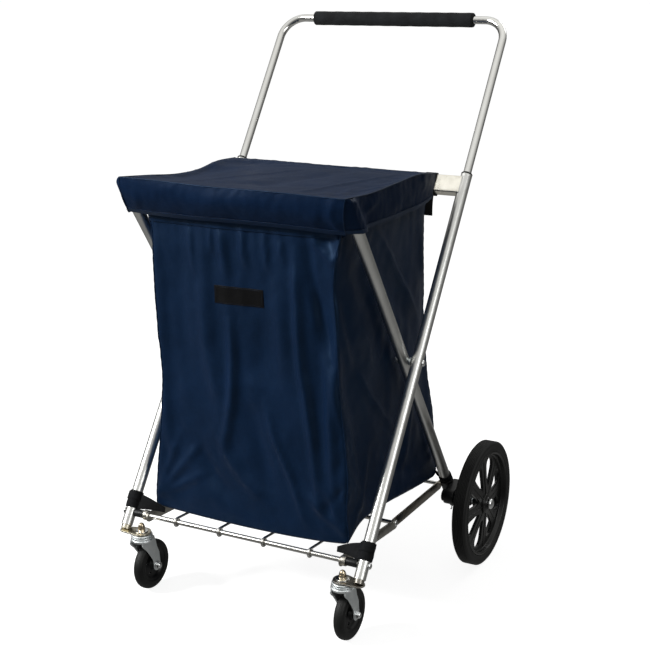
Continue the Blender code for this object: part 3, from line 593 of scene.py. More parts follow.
def box_uvs(mesh):
    """UVs in metres, laid on each face from the axis that it faces most."""
    if not mesh.uv_layers:
        mesh.uv_layers.new(name="UVMap")
    data = mesh.uv_layers[0].data
    for face in mesh.polygons:
        n = [abs(c) for c in face.normal]
        drop = n.index(max(n))
        keep = [i for i in range(3) if i != drop]
        for corner in face.loop_indices:
            co = mesh.vertices[mesh.loops[corner].vertex_index].co
            data[corner].uv = (co[keep[0]], co[keep[1]])
    return mesh


def arc(cu, cv, r, start, end, count):
    """(u, v) points on an arc, its angles in degrees."""
    turns = [radians(start + (end - start) * i / (count - 1)) for i in range(count)]
    return [(cu + r * cos(a), cv + r * sin(a)) for a in turns]


def capsule(u1, v1, r1, u2, v2, r2, count=12):
    """The outline round two circles."""
    heading = atan2(v2 - v1, u2 - u1) * 180 / pi
    lean = atan2(r1 - r2, sqrt(max((u2 - u1) ** 2 + (v2 - v1) ** 2 - (r1 - r2) ** 2, 1e-12))) * 180 / pi
    far = arc(u2, v2, r2, heading - 90 + lean, heading + 90 - lean, count)
    near = arc(u1, v1, r1, heading + 90 - lean, heading + 270 + lean, count)
    return far + near


def baked(obj):
    """The object's mesh with its modifiers applied."""
    bpy.context.view_layer.update()
    return bpy.data.meshes.new_from_object(obj.evaluated_get(bpy.context.evaluated_depsgraph_get()))


def boolean(mesh, cutters):
    """The mesh with other meshes cut from it."""
    obj = linked("work", mesh)
    others = []
    for cutter in cutters:
        other = linked("cutter", cutter)
        others.append(other)
        step = obj.modifiers.new("step", "BOOLEAN")
        step.operation, step.solver, step.object = "DIFFERENCE", "EXACT", other
    made = baked(obj)
    for thing in (obj, *others):
        data = thing.data
        bpy.data.objects.remove(thing)
        bpy.data.meshes.remove(data)
    return made


def modified(mesh, *modifiers):
    """The mesh after modifiers, each a (type, {setting: value})."""
    obj = linked("work", mesh)
    for kind, settings in modifiers:
        step = obj.modifiers.new(kind.lower(), kind)
        for key, value in settings.items():
            setattr(step, key, value)
    made = baked(obj)
    bpy.data.objects.remove(obj)
    bpy.data.meshes.remove(mesh)
    return made


def smoothed(levels=1):
    """A step for modified()."""
    return "SUBSURF", {"levels": levels, "render_levels": levels}


def thick(thickness, offset=0):
    return "SOLIDIFY", {"thickness": thickness, "offset": offset}


def bevelled(width, **more):
    return "BEVEL", {"width": width, "segments": 2, "limit_method": "ANGLE", **more}


# ---- Tubes ------------------------------------------------------------------------------------------
def straight(start, end, step=0.04):
    start, end = Vector(start), Vector(end)
    count = max(2, int((end - start).length / step))
    return [start.lerp(end, i / count) for i in range(count + 1)]


def bar(name, node, radius, material, body):
    """A plain bar along x, in a CAD bar's place."""
    low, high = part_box(node)
    centre = (low + high) / 2
    path = straight(at_x(centre, low.x), at_x(centre, high.x), 0.05)
    piece(name, sweep(path, radius), material, body, (node,))


def make_tubes():
    for side, s in SIDES:
        low, high = FRONT - ALONG * 0.027, FRONT + ALONG * 0.7797
        tube = sweep(straight(at_x(low, s * LONG_X), at_x(high, s * LONG_X)), TUBE_R, 40, TUBE_WALL)
        piece(f"long_tube_skin_{side}", tube, TUBE, "front_frame", (f"long_tube_{side}",))
        low, high = REAR + DOWN_LEG * 0.010, CROSS - DOWN_LEG * 0.403
        leg = sweep(straight(at_x(low, s * LEG_X), at_x(high, s * LEG_X)), TUBE_R, 40, TUBE_WALL)
        piece(f"rear_leg_skin_{side}", leg, TUBE, "rear_frame", (f"rear_leg_{side}",))
        mouth = at_x(FRONT + ALONG * 0.780, s * LONG_X)
        lip, bore = TUBE_R + 0.0002, HANDLE_R + 0.0004
        ring = [
            (bore, 0.0028), (bore + 0.0012, 0.0036), (lip - 0.0012, 0.0030), (lip, 0.0018), (lip, 0),
            (0.0096, 0), (0.0096, -0.02), (bore, -0.02),
        ]
        bush = lathe(filleted(ring, 0.0006, 3), 40, mouth, ALONG)
        piece(f"bush_lip_{side}", bush, PLASTIC, "front_frame", (f"tube_bush_{side}",))


def make_handle():
    foot, crown = FRONT + ALONG * 0.580, GRIP
    corners = [at_x(foot, -LONG_X), at_x(crown, -LONG_X), at_x(crown, LONG_X), at_x(foot, LONG_X)]
    path = smooth_path(corners, 0.048, 18)
    dense = []
    for a, b in zip(path, path[1:]):
        dense += straight(a, b, 0.03)[:-1] if (b - a).length > 0.03 else [a]
    dense.append(path[-1])
    tube = sweep(dense, HANDLE_R, 32, TUBE_WALL)
    piece("handle_bar_skin", tube, CHROME, "handle", ("handle_bar",))
    half, r, bore = 0.369 / 2, 0.0147, HANDLE_R + 0.0003
    waves = [(r + 0.00022 * sin(i * 1.7), half - 0.369 * i / 36) for i in range(1, 36)]
    outline = [
        (bore, half - 0.0015), (bore + 0.001, half), (r, half), *waves, (r, -half), (bore + 0.001, -half),
        (bore, 0.0015 - half),
    ]
    grip = lathe(filleted(outline, 0.0055, 6), 48, GRIP)
    grip = piece("grip_sleeve", grip, FOAM, "handle", ("handle_grip",), 50)


def section(inner, outer, origin, u_axis, v_axis, w_axis, half):
    """A tube of any section: two outlines of (u, v) run along w, open at both ends."""
    u, v, w = Vector(u_axis), Vector(v_axis), Vector(w_axis)
    verts, faces = [], []
    count = len(outer)
    for run, shape in ((-half, inner), (-half, outer), (half, outer), (half, inner)):
        verts += [Vector(origin) + u * a + v * b + w * run for a, b in shape]
    for i in range(4):
        j = (i + 1) % 4
        for k in range(count):
            m = (k + 1) % count
            faces.append((i * count + k, i * count + m, j * count + m, j * count + k))
    return box_uvs(cleaned(mesh_of(verts, faces)))


def rounded_box(w, h, r, count=6):
    """The outline of a rectangle with round corners."""
    out = []
    for cu, cv, start in ((w - r, h - r, 0), (r - w, h - r, 90), (r - w, r - h, 180), (w - r, r - h, 270)):
        out += arc(cu, cv, r, start, start + 90, count)
    return out


def tube_reach(offset):
    """How far a tube's wall reaches sideways at an offset from its axis."""
    return sqrt(max(TUBE_R ** 2 - offset ** 2, 0))


def make_cross_plate():
    low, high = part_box("top_cross_plate")
    centre = (low + high) / 2
    half = (high.x - low.x) / 2
    wide, deep, wall = 0.018, 0.011, 0.002
    outer, inner = rounded_box(wide, deep, 0.0026), rounded_box(wide - wall, deep - wall, 0.0008)
    skin = section(inner, outer, centre, ALONG, ACROSS, X, half)
    for vert in skin.vertices:  # its ends are cut to the round of the tubes
        offset = ACROSS.dot(vert.co - centre)
        vert.co.x = (1 if vert.co.x > 0 else -1) * (LONG_X - 0.0002 - tube_reach(offset))
    piece("cross_plate_skin", skin, PLATE, "front_frame", ("top_cross_plate",))
    beads = []
    for _, s in SIDES:
        path = [centre + ALONG * a + ACROSS * b + Vector((s * (half + 0.0002), 0, 0)) for a, b in outer]
        path = [at_x(p, s * (LONG_X - tube_reach(ACROSS.dot(p - centre)) - 0.0006)) for p in path]
        path = [p for p in path if abs(ACROSS.dot(p - centre)) < TUBE_R - 0.0002]
        radii = [0.0013 + 0.0003 * sin(i * 2.1) for i in range(len(path) + 1)]
        beads.append(sweep(path + path[:1], radii, 10))
    piece("plate_welds", beads, TUBE, "front_frame")


# ---- Fasteners --------------------------------------------------------------------------------------
def hexagon(radius, bore, height, centre, axis, chamfer=0.0009):
    """A hexagon nut's or head's body, its corners turned off at both faces; radius is across the corners."""
    w = Vector(axis).normalized()
    u = Z if abs(w.z) < 0.9 else X
    v = w.cross(u)
    verts, faces = [], []
    rows = [
        (bore, -height / 2, 0), (1, -height / 2, 1), (1, -height / 2 + chamfer, 2),
        (1, height / 2 - chamfer, 2), (1, height / 2, 1), (bore, height / 2, 0),
    ]
    steps = 36
    for r, h, kind in rows:
        for k in range(steps):
            a = 2 * pi * k / steps
            flat = radius * cos(pi / 6) / cos((a % (pi / 3)) - pi / 6)
            reach = r if kind == 0 else (min(flat, radius * 0.9) if kind == 1 else flat)
            verts.append(Vector(centre) + w * h + u * (reach * cos(a)) + v * (reach * sin(a)))
    for i in range(len(rows)):
        j = (i + 1) % len(rows)
        for k in range(steps):
            m = (k + 1) % steps
            faces.append((i * steps + k, j * steps + k, j * steps + m, i * steps + m))
    return box_uvs(cleaned(mesh_of(verts, faces)))


def dome(radius, height, lip=0.0008):
    """The profile of a domed head from the axis down to its seat at height 0."""
    turns = [pi / 2 * i / 8 for i in range(9)]
    return [(radius * sin(a), lip + (height - lip) * cos(a)) for a in turns] + [(radius, 0), (0, 0)]


def domed_bolt(seat, axis, radius, height, shank_r, shank):
    head = lathe(dome(radius, height)[1:-1] + [(0.0001, 0), (0.0001, height)], 36, seat, axis)
    stem = sweep([Vector(seat), Vector(seat) - Vector(axis) * shank], shank_r, 20)
    return joined([head, stem])


def make_bolts():
    seat_x = LONG_X + TUBE_R + 0.0003
    for side, s in SIDES:
        out = Vector((s, 0, 0))
        mesh = domed_bolt(at_x(FRONT, s * seat_x), out, 0.0062, 0.0048, 0.003, 0.0324)
        piece(f"base_bolt_head_{side}", mesh, BRIGHT, "front_frame", (f"base_bolt_{side}",))
        mesh = domed_bolt(at_x(CROSS, s * seat_x), out, 0.0062, 0.0048, 0.003, 0.0567)
        piece(f"pivot_bolt_head_{side}", mesh, BRIGHT, "front_frame", (f"pivot_bolt_{side}",))
        low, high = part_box(f"pivot_spacer_{side}")
        half = (high.x - low.x) / 2
        ring = filleted(plain_ring(0.0034, 0.0075, half), 0.0006)
        mesh = lathe(ring, 36, (low + high) / 2)
        piece(f"pivot_washer_{side}", mesh, ZINC, "front_frame", (f"pivot_spacer_{side}",))
        centre = middle(f"pivot_nut_{side}")
        mesh = hexagon(0.0062, 0.0034, 0.0052, centre, out)
        piece(f"pivot_hex_{side}", mesh, ZINC, "front_frame", (f"pivot_nut_{side}",))
        low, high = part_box(f"base_spacer_{side}")
        half = (high.x - low.x) / 2
        ring = filleted(plain_ring(0.0051, 0.0078, half), 0.0014, 4)
        mesh = lathe(ring, 36, (low + high) / 2)
        piece(f"base_sleeve_{side}", mesh, PLASTIC, "front_frame", (f"base_spacer_{side}",))
        seat = at_x(KNEE, s * (RAIL_X + 0.0015 + 0.0003))
        cup = dome(0.0062, 0.0036, 0.0010)[1:-1] + mm((4.3, 0), (4.3, 1.8), (0.1, 1.8), (0.1, 3.6))
        cap = lathe(cup, 36, seat, out)
        piece(f"knee_dome_{side}", cap, BRIGHT, "base_front", (f"knee_nut_{side}",))
    bar("front_bar_skin", "front_bar", 0.0048, WIRE, "front_frame")
    bar("front_top_bar_skin", "front_top_bar", 0.0075, TUBE, "rear_frame")


# ---- Wire base --------------------------------------------------------------------------------------
def wire_path(first, grip_r, last, tail_r, x):
    """A wire that lies on the rod at last, and turns round the bar at first in an eye."""
    run = (last - first).normalized()
    up = Vector((0, -run.z, run.y))
    eye_r = grip_r + 0.0025 + 0.0001
    points = [at_x(last + run * 0.0035 + up * (tail_r + 0.0016), x)]
    points += straight(points[0], at_x(first + run * 0.004 + up * eye_r, x), 0.03)[1:]
    for i in range(1, 24):
        turn = radians(90 + i * 14)
        points.append(at_x(first + run * (eye_r * cos(turn)) + up * (eye_r * sin(turn)), x))
    return points


def make_grid(name, node, body, first, first_r, last, places, half):
    parts = [sweep(straight(at_x(last, -half), at_x(last, half), 0.05), 0.004, 20)]
    run = (last - first).normalized()
    up = Vector((0, -run.z, run.y))
    for x in places:
        parts.append(sweep(wire_path(first, first_r, last, 0.004, x), 0.0025, 14))
        for side in (-1, 1):
            blob = [(0.0021 * sin(pi * i / 6) + 0.0001, -0.0034 * cos(pi * i / 6)) for i in range(7)]
            spot = at_x(last + up * 0.0048, x + side * 0.0021)
            parts.append(lathe(blob + [(0.0001, 0.0034), (0.0001, -0.0034)], 12, spot, run))
    piece(name, parts, WIRE, body, (node,))


def make_rails():
    down = -0.002
    for side, s in SIDES:
        run = KNEE - FRONT
        shape = capsule(0, down, RAIL_R, run.y, run.z + down, RAIL_R, 20)
        strip = plate(shape, 0.003, at_x(FRONT, s * RAIL_X), Y, Z, 0.0006, 3)
        collar = lathe(filleted(plain_ring(0.0054, 0.0098, 0.0047), 0.0012, 4), 36, at_x(FRONT, s * 0.2196))
        piece(
            f"front_rail_skin_{side}", [strip, collar], RAIL, "base_front",
            (f"front_rail_{side}",),
        )
        run = REAR - KNEE
        shape = capsule(0, down, RAIL_R, run.y, run.z + down, RAIL_R, 20)
        strip = plate(shape, 0.003, at_x(KNEE, s * REAR_RAIL_X), Y, Z, 0.0006, 3)
        piece(f"rear_rail_skin_{side}", strip, RAIL_REAR, "base_rear", (f"rear_rail_{side}",))
        clip = mm((14, 7.5), (16, 9.2), (40, 9), (42, 7.3), (40, -1), (16, -1))
        clip = [(u, v + down + run.z / run.y * u) for u, v in clip]
        tab = plate(clip, 0.0052, at_x(KNEE, s * REAR_RAIL_X), Y, Z, 0.0007, 3)
        piece(f"rail_clip_{side}", tab, PLASTIC, "base_rear")


def make_base():
    make_rails()
    front_x = [s * x for x in (0.148, 0.049) for s in (-1, 1)]
    rear_x = [s * (x - 0.009) for x in (0.148, 0.049) for s in (-1, 1)]
    make_grid("front_wires", "front_wire_grid", "base_front", FRONT, 0.0048, KNEE, front_x, RAIL_X + 0.0035)
    make_grid("rear_wires", "rear_wire_grid", "base_rear", KNEE, 0.0040, REAR, rear_x, LEG_X - 0.0143)


# ---- Rear brackets and axles ------------------------------------------------------------------------
def make_brackets():
    for side, s in SIDES:
        centre = at_x(REAR, s * LEG_X)
        ring = mm((11.7, 26), (14, 26), (14, -14), (11, -16), (0.5, -16), (0.5, -10.5), (11.7, -10.5))
        sleeve = lathe(filleted(ring, 0.0016, 4), 40, centre, -DOWN_LEG)
        gap = AXLE - REAR
        shape = capsule(0, 0, 0.0165, gap.y, gap.z, 0.0165, 20)
        inner, outer = LEG_X + 0.0098, 0.262
        arm = plate(shape, outer - inner, at_x(REAR, s * (inner + outer) / 2), Y, Z, 0.0022, 4)
        boss_ring = mm((5.3, 18), (11.5, 18), (12.5, -18), (5.3, -18))
        boss = lathe(filleted(boss_ring, 0.0012, 4), 36, at_x(AXLE, s * 0.280), (s, 0, 0))
        flange = filleted(plain_ring(0.0053, 0.0125, 0.0016), 0.001, 3)
        flange = lathe(flange, 36, at_x(AXLE, s * 0.2365), (s, 0, 0))
        piece(
            f"bracket_skin_{side}", [sleeve, arm, boss, flange], PLASTIC, "rear_frame",
            (f"rear_bracket_{side}",),
        )
        bar(f"axle_skin_{side}", f"rear_axle_{side}", 0.005, ZINC, "rear_frame")
        cap_ring = dome(0.0110, 0.0072, 0.0012)[1:-1] + mm((5.3, 0), (5.3, 3.5), (0.1, 3.5), (0.1, 7.2))
        cap = lathe(cap_ring, 40, at_x(AXLE, s * 0.3388), (s, 0, 0))
        piece(f"axle_cap_skin_{side}", cap, BRIGHT, "rear_frame", (f"axle_cap_{side}",))
        x = s * 0.2525
        hook = [Vector((x, AXLE.y - 0.004, AXLE.z - 0.0150))]
        for i in range(1, 15):
            a = radians(110 - 19 * i)
            y, z = 0.0046 * cos(a) + 0.0005 * i - 0.0035, 0.0046 * sin(a) - 0.0002 * i - 0.0225
            hook.append(Vector((x, AXLE.y + y, AXLE.z + z)))
        clip = sweep(hook, 0.0011, 12)
        piece(f"axle_clip_{side}", clip, BRIGHT, "rear_frame", (f"wire_clip_{side}",))
        ball = [(0.0042 * sin(pi * i / 10) + 0.0001, -0.0042 * cos(pi * i / 10)) for i in range(11)]
        spot = Vector((x, AXLE.y + 0.006, AXLE.z - 0.0200))
        stop = lathe(ball + [(0.0001, 0.0042), (0.0001, -0.0042)], 24, spot)
        piece(f"clip_stop_{side}", stop, PLASTIC, "rear_frame")


# ---- Rear wheels ------------------------------------------------------------------------------------
def make_rear_wheels():
    half = 0.0142
    for side, s in SIDES:
        centre = middle(f"rear_rim_{side}")
        out = Vector((s, 0, 0))
        r = 0.127
        shoulder = [
            (0.1070, half - 0.0018), (0.1088, half - 0.0004), (0.1130, half - 0.0010), (0.1200, half),
            (0.1238, half - 0.0008), (0.1262, half - 0.0030),
        ]
        tread = []
        groove, depth = 0.00080, 0.0018
        for i in range(7):
            h = 0.0093 - 0.0031 * i
            tread += [
                (r, h + groove * 1.8), (r, h + groove), (r - depth, h + groove * 0.4),
                (r - depth, h - groove * 0.4), (r, h - groove), (r, h - groove * 1.8),
            ]
        profile = shoulder + tread + mirrored(shoulder)[len(shoulder):]
        tyre = lathe(filleted(profile, 0.0004, 2), 128, centre, out)
        piece(f"tyre_{side}", tyre, RUBBER, f"rear_wheel_{side}", (f"rear_tyre_{side}",), 40)

        edge = 0.1067
        barrel = [
            (edge, half - 0.0012), (edge, 0.0012 - half), (0.1040, 0.0004 - half), (0.1015, 0.0018 - half),
            (0.1000, -0.0040), (0.0965, -0.0030), (0.0965, 0.0030), (0.1000, 0.0040), (0.1015, half - 0.0018),
            (0.1040, half - 0.0004),
        ]
        parts = [lathe(filleted(barrel, 0.0009, 3), 96, centre, out)]
        web_r = [0.017 + (0.098 - 0.017) * i / 8 for i in range(9)]

        def dish(radius):
            return 0.0062 * (1 - (radius - 0.017) / 0.081) ** 1.3

        front = [(a, dish(a) + 0.0030) for a in web_r]
        back = [(a, dish(a) - 0.0030) for a in web_r[::-1]]
        web = lathe(front + back, 96, centre, out)
        windows = []
        for i in range(8):
            turn = 2 * pi * (i + 0.5) / 8
            y, z = cos(turn), sin(turn)
            shape = capsule(0.0770 * y, 0.0770 * z, 0.0165, 0.0420 * y, 0.0420 * z, 0.0056)
            windows.append(plate(shape, 0.06, centre, Y, Z, 0))
        web = boolean(web, windows)
        web = modified(web, bevelled(0.0009, angle_limit=radians(50)))
        parts.append(web)
        for i in range(8):
            turn = 2 * pi * i / 8
            ray = Vector((0, cos(turn), sin(turn)))
            path = [(a, dish(a) + 0.0026) for a in web_r]
            front_rib = path + [(a, h + 0.0018 - 0.0006 * (a / 0.098)) for a, h in path[::-1]]
            back_rib = [(a, dish(a) - 0.0026) for a in web_r] + [(a, dish(a) - 0.0044) for a in web_r[::-1]]
            for rib in (front_rib, back_rib):
                parts.append(plate(rib, 0.0024, centre, ray, out, 0.0006))
        hub = mm(
            (5.4, 16.2), (12.5, 16.2), (14, 13.2), (20.5, 12), (21.2, 6), (21.2, -6), (20.5, -12),
            (14, -13.2), (12.5, -16.2), (5.4, -16.2),
        )
        parts.append(lathe(filleted(hub, 0.0012, 3), 64, centre, out))
        piece(f"wheel_{side}", parts, GLOSS, f"rear_wheel_{side}", (f"rear_rim_{side}",), 32)


# ---- Casters ----------------------------------------------------------------------------------------
def make_casters():
    plate_z = 0.1270
    for side, s in SIDES:
        stem = Vector((s * CASTER_X, STEM.y, 0))
        foot = FRONT - ALONG * 0.028
        shape = capsule(s * CASTER_X, stem.y, 0.0185, s * LONG_X, foot.y - 0.003, 0.0115, 24)
        flat = plate(shape, 0.003, (0, 0, plate_z + 0.0015), X, Y, 0.0008, 3)
        low, high = at_x(FRONT - ALONG * 0.035, s * LONG_X), at_x(FRONT - ALONG * 0.008, s * LONG_X)
        plug = sweep([low, high], 0.0093, 32)
        trim = plate(rounded_box(0.03, 0.03, 0.001), 0.04, (s * LONG_X, foot.y, plate_z - 0.0195), X, Y, 0)
        # Each side's plate takes its own copy of the plate metal, with painted light on the left and painted
        # shade on the right.
        piece(
            f"caster_plate_skin_{side}", [flat, boolean(plug, [trim])], CASTER_PLATES_LIT_AND_SHADED[side], "front_frame",
            (f"caster_plate_{side}",),
        )

        seat = plate_z + 0.0033
        ring = filleted(mm((4.3, 1.8), (12.5, 1.8), (12.5, 0), (4.3, 0)), 0.0005)
        piece(f"stem_washer_{side}", lathe(ring, 40, stem + Z * seat, Z), BRIGHT, "front_frame")
        body = hexagon(0.0078, 0.0043, 0.0078, stem + Z * (seat + 0.0018 + 0.0039), Z, 0.0010)
        acorn = [
            (0.0064 * sin(pi / 2 * i / 8) + 0.0001, 0.0090 + 0.0090 * cos(pi / 2 * i / 8))
            for i in range(9)
        ]
        crown = lathe(acorn + mm((4.3, 9), (4.3, 15), (0.1, 15)), 32, stem + Z * seat, Z)
        piece(f"acorn_nut_{side}", [body, crown], BRASS, "front_frame", (f"caster_nut_{side}",))
        make_caster_fork(side, s, stem)
        make_caster_wheel(side, s)


def make_caster_fork(side, s, stem):
    top, crown_z = 0.1267, 0.1185
    race = [
        (0.0150, top), (0.0195, top - 0.0008), (0.0207, top - 0.0024), (0.0204, top - 0.0036),
        (0.0172, top - 0.0040), (0.0172, top - 0.0050), (0.0208, top - 0.0053), (0.0214, top - 0.0066),
        (0.0208, crown_z - 0.0012), (0.0190, crown_z - 0.0016), (0.0020, crown_z - 0.0016), (0.0020, top),
    ]
    cups = lathe(filleted(race, 0.0005), 56, stem, Z)
    crown = [
        (0.0005, crown_z - 0.0010), (0.0205, crown_z - 0.0010), (0.0225, crown_z - 0.0024),
        (0.0228, crown_z - 0.0060), (0.0205, crown_z - 0.0075), (0.0005, crown_z - 0.0060),
    ]
    head = lathe(filleted(crown, 0.0012, 4), 56, stem, Z)
    trail, axle_z = CASTER.y - stem.y, CASTER.z
    leg_in, leg_t = 0.0105 + 0.0022, 0.0024
    shapes = []
    for d in (-1, 1):
        front = [
            (-0.0188, crown_z - 0.0020), (-0.0207, crown_z - 0.0080), (-0.0180, crown_z - 0.0140),
            (-0.0090, 0.0960), (0.0010, 0.0820), (0.0110, 0.0660), (trail - 0.0108, axle_z + 0.0050),
        ]
        rear = [
            (trail + 0.0102, axle_z + 0.0080), (trail + 0.0090, 0.0750), (0.0262, 0.0900),
            (0.0232, crown_z - 0.0150), (0.0212, crown_z - 0.0080), (0.0195, crown_z - 0.0020),
        ]
        outline = front + arc(trail, axle_z, 0.0108, 180, 360, 16) + rear
        shapes.append(
            plate(outline, leg_t, Vector((stem.x + d * (leg_in + leg_t / 2), stem.y, 0)), Y, Z, 0.0007, 3)
        )
        lip = [at_x(Vector((0, stem.y + y, z)), stem.x + d * (leg_in + leg_t + 0.0001)) for y, z in front[1:]]
        shapes.append(sweep(smooth_path(lip, 0.01, 5), 0.0010, 10))
    screw = sweep([stem + Z * 0.112, stem + Z * 0.1415], 0.004, 20)
    piece(
        f"fork_skin_{side}", [cups, head, screw, *shapes], FORK, f"caster_{side}",
        (f"caster_fork_{side}",), 40,
    )
    centre = at_x(CASTER, s * CASTER_X)
    reach = leg_in + leg_t + 0.0003
    washer = mm((3.4, 1), (8.5, 1), (8.5, 0), (3.4, 0))
    washer = lathe(filleted(washer, 0.0003), 32, centre + X * reach)
    nut = hexagon(0.0070, 0.0033, 0.0042, centre + X * (reach + 0.0031), X, 0.0008)
    acorn = [(0.0052 * sin(pi / 2 * i / 7) + 0.0001, 0.0050 + 0.0035 * cos(pi / 2 * i / 7)) for i in range(8)]
    crown = lathe(acorn + [(0.0001, 0.0050)], 28, centre + X * reach)
    head = hexagon(0.0066, 0.0001, 0.0040, centre - X * (reach + 0.0021), X, 0.0007)
    shank = sweep([centre - X * reach, centre + X * (reach + 0.005)], 0.0032, 20)
    piece(
        f"caster_axle_skin_{side}", [washer, nut, crown, head, shank], BRIGHT, f"caster_{side}",
        (f"caster_axle_{side}",),
    )


def make_caster_wheel(side, s):
    centre = at_x(CASTER, s * CASTER_X)
    half, r, bead = 0.0105, 0.050, 0.0335
    upper = [
        (bead, half - 0.0006), (0.0350, half), (0.0420, half), (0.0462, half - 0.0014),
        (0.0488, half - 0.0042), (r - 0.0003, half - 0.0070), (r - 0.0003, 0.0021), (r, 0.0016),
    ]
    tyre = lathe(filleted(mirrored(upper), 0.0012, 4), 96, centre)
    piece(
        f"caster_tread_{side}", tyre, RUBBER, f"caster_wheel_{side}",
        (f"caster_tyre_{side}",), 50,
    )
    upper = [
        (0.0036, half + 0.0008), (0.0090, half + 0.0008), (0.0105, half - 0.0010), (0.0125, 0.0044),
        (0.0255, 0.0036), (0.0290, half - 0.0030), (0.0332, half - 0.0010),
    ]
    disc = lathe(filleted(mirrored(upper), 0.0010, 3), 72, centre)
    holes = []
    for i in range(5):
        turn = 2 * pi * (i + 0.25) / 5
        spot = centre + Vector((0, 0.0190 * cos(turn), 0.0190 * sin(turn)))
        holes.append(plate(arc(0, 0, 0.0032, 0, 345, 24), 0.06, spot, Y, Z, 0))
    piece(
        f"caster_disc_{side}", boolean(disc, holes), PLASTIC, f"caster_wheel_{side}",
        (f"caster_hub_{side}",), 35,
    )


# ---- Cloth tools ------------------------------------------------------------------------------------
def curve(*points):
    """A smooth function through (key, value) points with rising keys."""
    keys, values = np.array(points, float).T
    slopes = np.gradient(values, keys)

    def at(k):
        k = np.clip(k, keys[0], keys[-1])
        i = np.clip(np.searchsorted(keys, k) - 1, 0, len(keys) - 2)
        w = keys[i + 1] - keys[i]
        t = (k - keys[i]) / w
        start = (2 * t ** 3 - 3 * t ** 2 + 1) * values[i] + (t ** 3 - 2 * t ** 2 + t) * w * slopes[i]
        return start + (3 * t ** 2 - 2 * t ** 3) * values[i + 1] + (t ** 3 - t ** 2) * w * slopes[i + 1]

    return at


def mm_curve(*points):
    """A smooth function in metres, with its points written in millimetres."""
    return curve(*mm(*points))


def crease(p, q, path, width, height, skew=0.0, open_ends=False):
    """The height of a fold at panel coordinates p, q: a ridge along path, with a valley by it if skewed."""
    path = np.array(path, float)
    runs = np.r_[0, np.cumsum(np.hypot(*np.diff(path, axis=0).T))]
    along = np.linspace(0, runs[-1], 25)
    follow = (
        lambda v: curve(*zip(runs, v))(along)
    ) if len(path) > 2 else (lambda v: np.interp(along, runs, v))
    xs, ys = follow(path[:, 0]), follow(path[:, 1])
    best = np.full(p.shape, 1e9)
    side, where = np.zeros(p.shape), np.zeros(p.shape)
    for i in range(24):
        dx, dy = xs[i + 1] - xs[i], ys[i + 1] - ys[i]
        length = np.hypot(dx, dy)
        t = np.clip(((p - xs[i]) * dx + (q - ys[i]) * dy) / length ** 2, 0, 1)
        off_x, off_y = p - xs[i] - t * dx, q - ys[i] - t * dy
        gap = np.hypot(off_x, off_y)
        near = gap < best
        best = np.where(near, gap, best)
        side = np.where(near, np.sign(off_x * dy - off_y * dx), side)
        where = np.where(near, (i + t) / 24, where)
    taper = 1.0 if open_ends else np.sin(pi * np.clip(where, 0.02, 0.98)) ** 0.6
    x = best / width
    return height * taper * (np.exp(-x * x) - skew * side * x * np.exp(-x * x) * 1.6)


def folds(p, q, table):
    """The heights of a table's folds at panel coordinates p, q."""
    return sum(
        crease(p, q, mm(*path), width / 1000, height / 1000, skew) for width, height, skew, *path in table
    )


def hill(p, q, at, size, height):
    return height * np.exp(-((p - at[0]) / size[0]) ** 2 - ((q - at[1]) / size[1]) ** 2)


def waves(points, scale, seed):
    """Smooth noise at each point, between about -1 and 1."""
    offset = Vector((seed * 7.3, seed * 3.1, seed * 5.7))
    return np.array([noise.fractal(Vector(p) * scale + offset, 0.9, 2.0, 3) for p in points])


def grid_mesh(grids, flips, weld=0.00005):
    """Grids of points (rows x columns x 3) as one welded mesh with UVs in metres."""
    verts, faces, uvs = [], [], []
    for grid, flip in zip(grids, flips):
        base = len(verts)
        rows, columns = grid.shape[:2]
        verts += [tuple(p) for p in grid.reshape(-1, 3)]
        across = np.hypot.reduce(np.diff(grid, axis=1), axis=2).mean(axis=0) if columns > 1 else []
        down = np.hypot.reduce(np.diff(grid, axis=0), axis=2).mean(axis=1)
        u, v = np.r_[0, np.cumsum(across)], np.r_[0, np.cumsum(down)]
        for j in range(rows - 1):
            for i in range(columns - 1):
                corners = [(j, i), (j, i + 1), (j + 1, i + 1), (j + 1, i)]
                if flip:
                    corners = corners[::-1]
                faces.append([base + a * columns + b for a, b in corners])
                uvs += [(u[b], v[a]) for a, b in corners]
    mesh = mesh_of(verts, faces, uvs)
    bm = bmesh.new()
    bm.from_mesh(mesh)
    bmesh.ops.remove_doubles(bm, verts=bm.verts, dist=weld)
    bm.to_mesh(mesh)
    bm.free()
    return mesh


def simulated(mesh, pin, frames, slack, bend, most, gravity=1.0):
    """The mesh after a cloth simulation: pin(co) is how firmly a point is held, most how far it may move."""
    obj = linked("cloth_work", mesh)
    group = obj.vertex_groups.new(name="pin")
    before = np.array([v.co[:] for v in mesh.vertices])
    for i, co in enumerate(before):
        group.add([i], float(np.clip(pin(co), 0, 1)), "REPLACE")
    cloth = obj.modifiers.new("cloth", "CLOTH")
    settings = cloth.settings
    settings.quality = 6
    settings.mass = 0.15
    settings.tension_stiffness = settings.compression_stiffness = 12
    settings.shear_stiffness = 6
    settings.bending_stiffness = bend
    settings.air_damping = 2
    settings.vertex_group_mass = "pin"
    settings.pin_stiffness = 1
    settings.shrink_min = -slack
    settings.effector_weights.gravity = gravity
    cloth.collision_settings.use_collision = False
    cloth.point_cache.frame_start, cloth.point_cache.frame_end = 1, frames
    scene = bpy.context.scene
    for frame_number in range(1, frames + 1):
        scene.frame_set(frame_number)
    graph = bpy.context.evaluated_depsgraph_get()
    after = np.array([v.co[:] for v in obj.evaluated_get(graph).data.vertices])
    obj.modifiers.clear()
    scene.frame_set(1)
    move = after - before
    far = np.linalg.norm(move, axis=1, keepdims=True)
    move *= most * np.tanh(far / most) / np.maximum(far, 1e-9)
    mesh.vertices.foreach_set("co", (before + move).ravel())
    obj.vertex_groups.clear()
    bpy.data.objects.remove(obj)
    return mesh


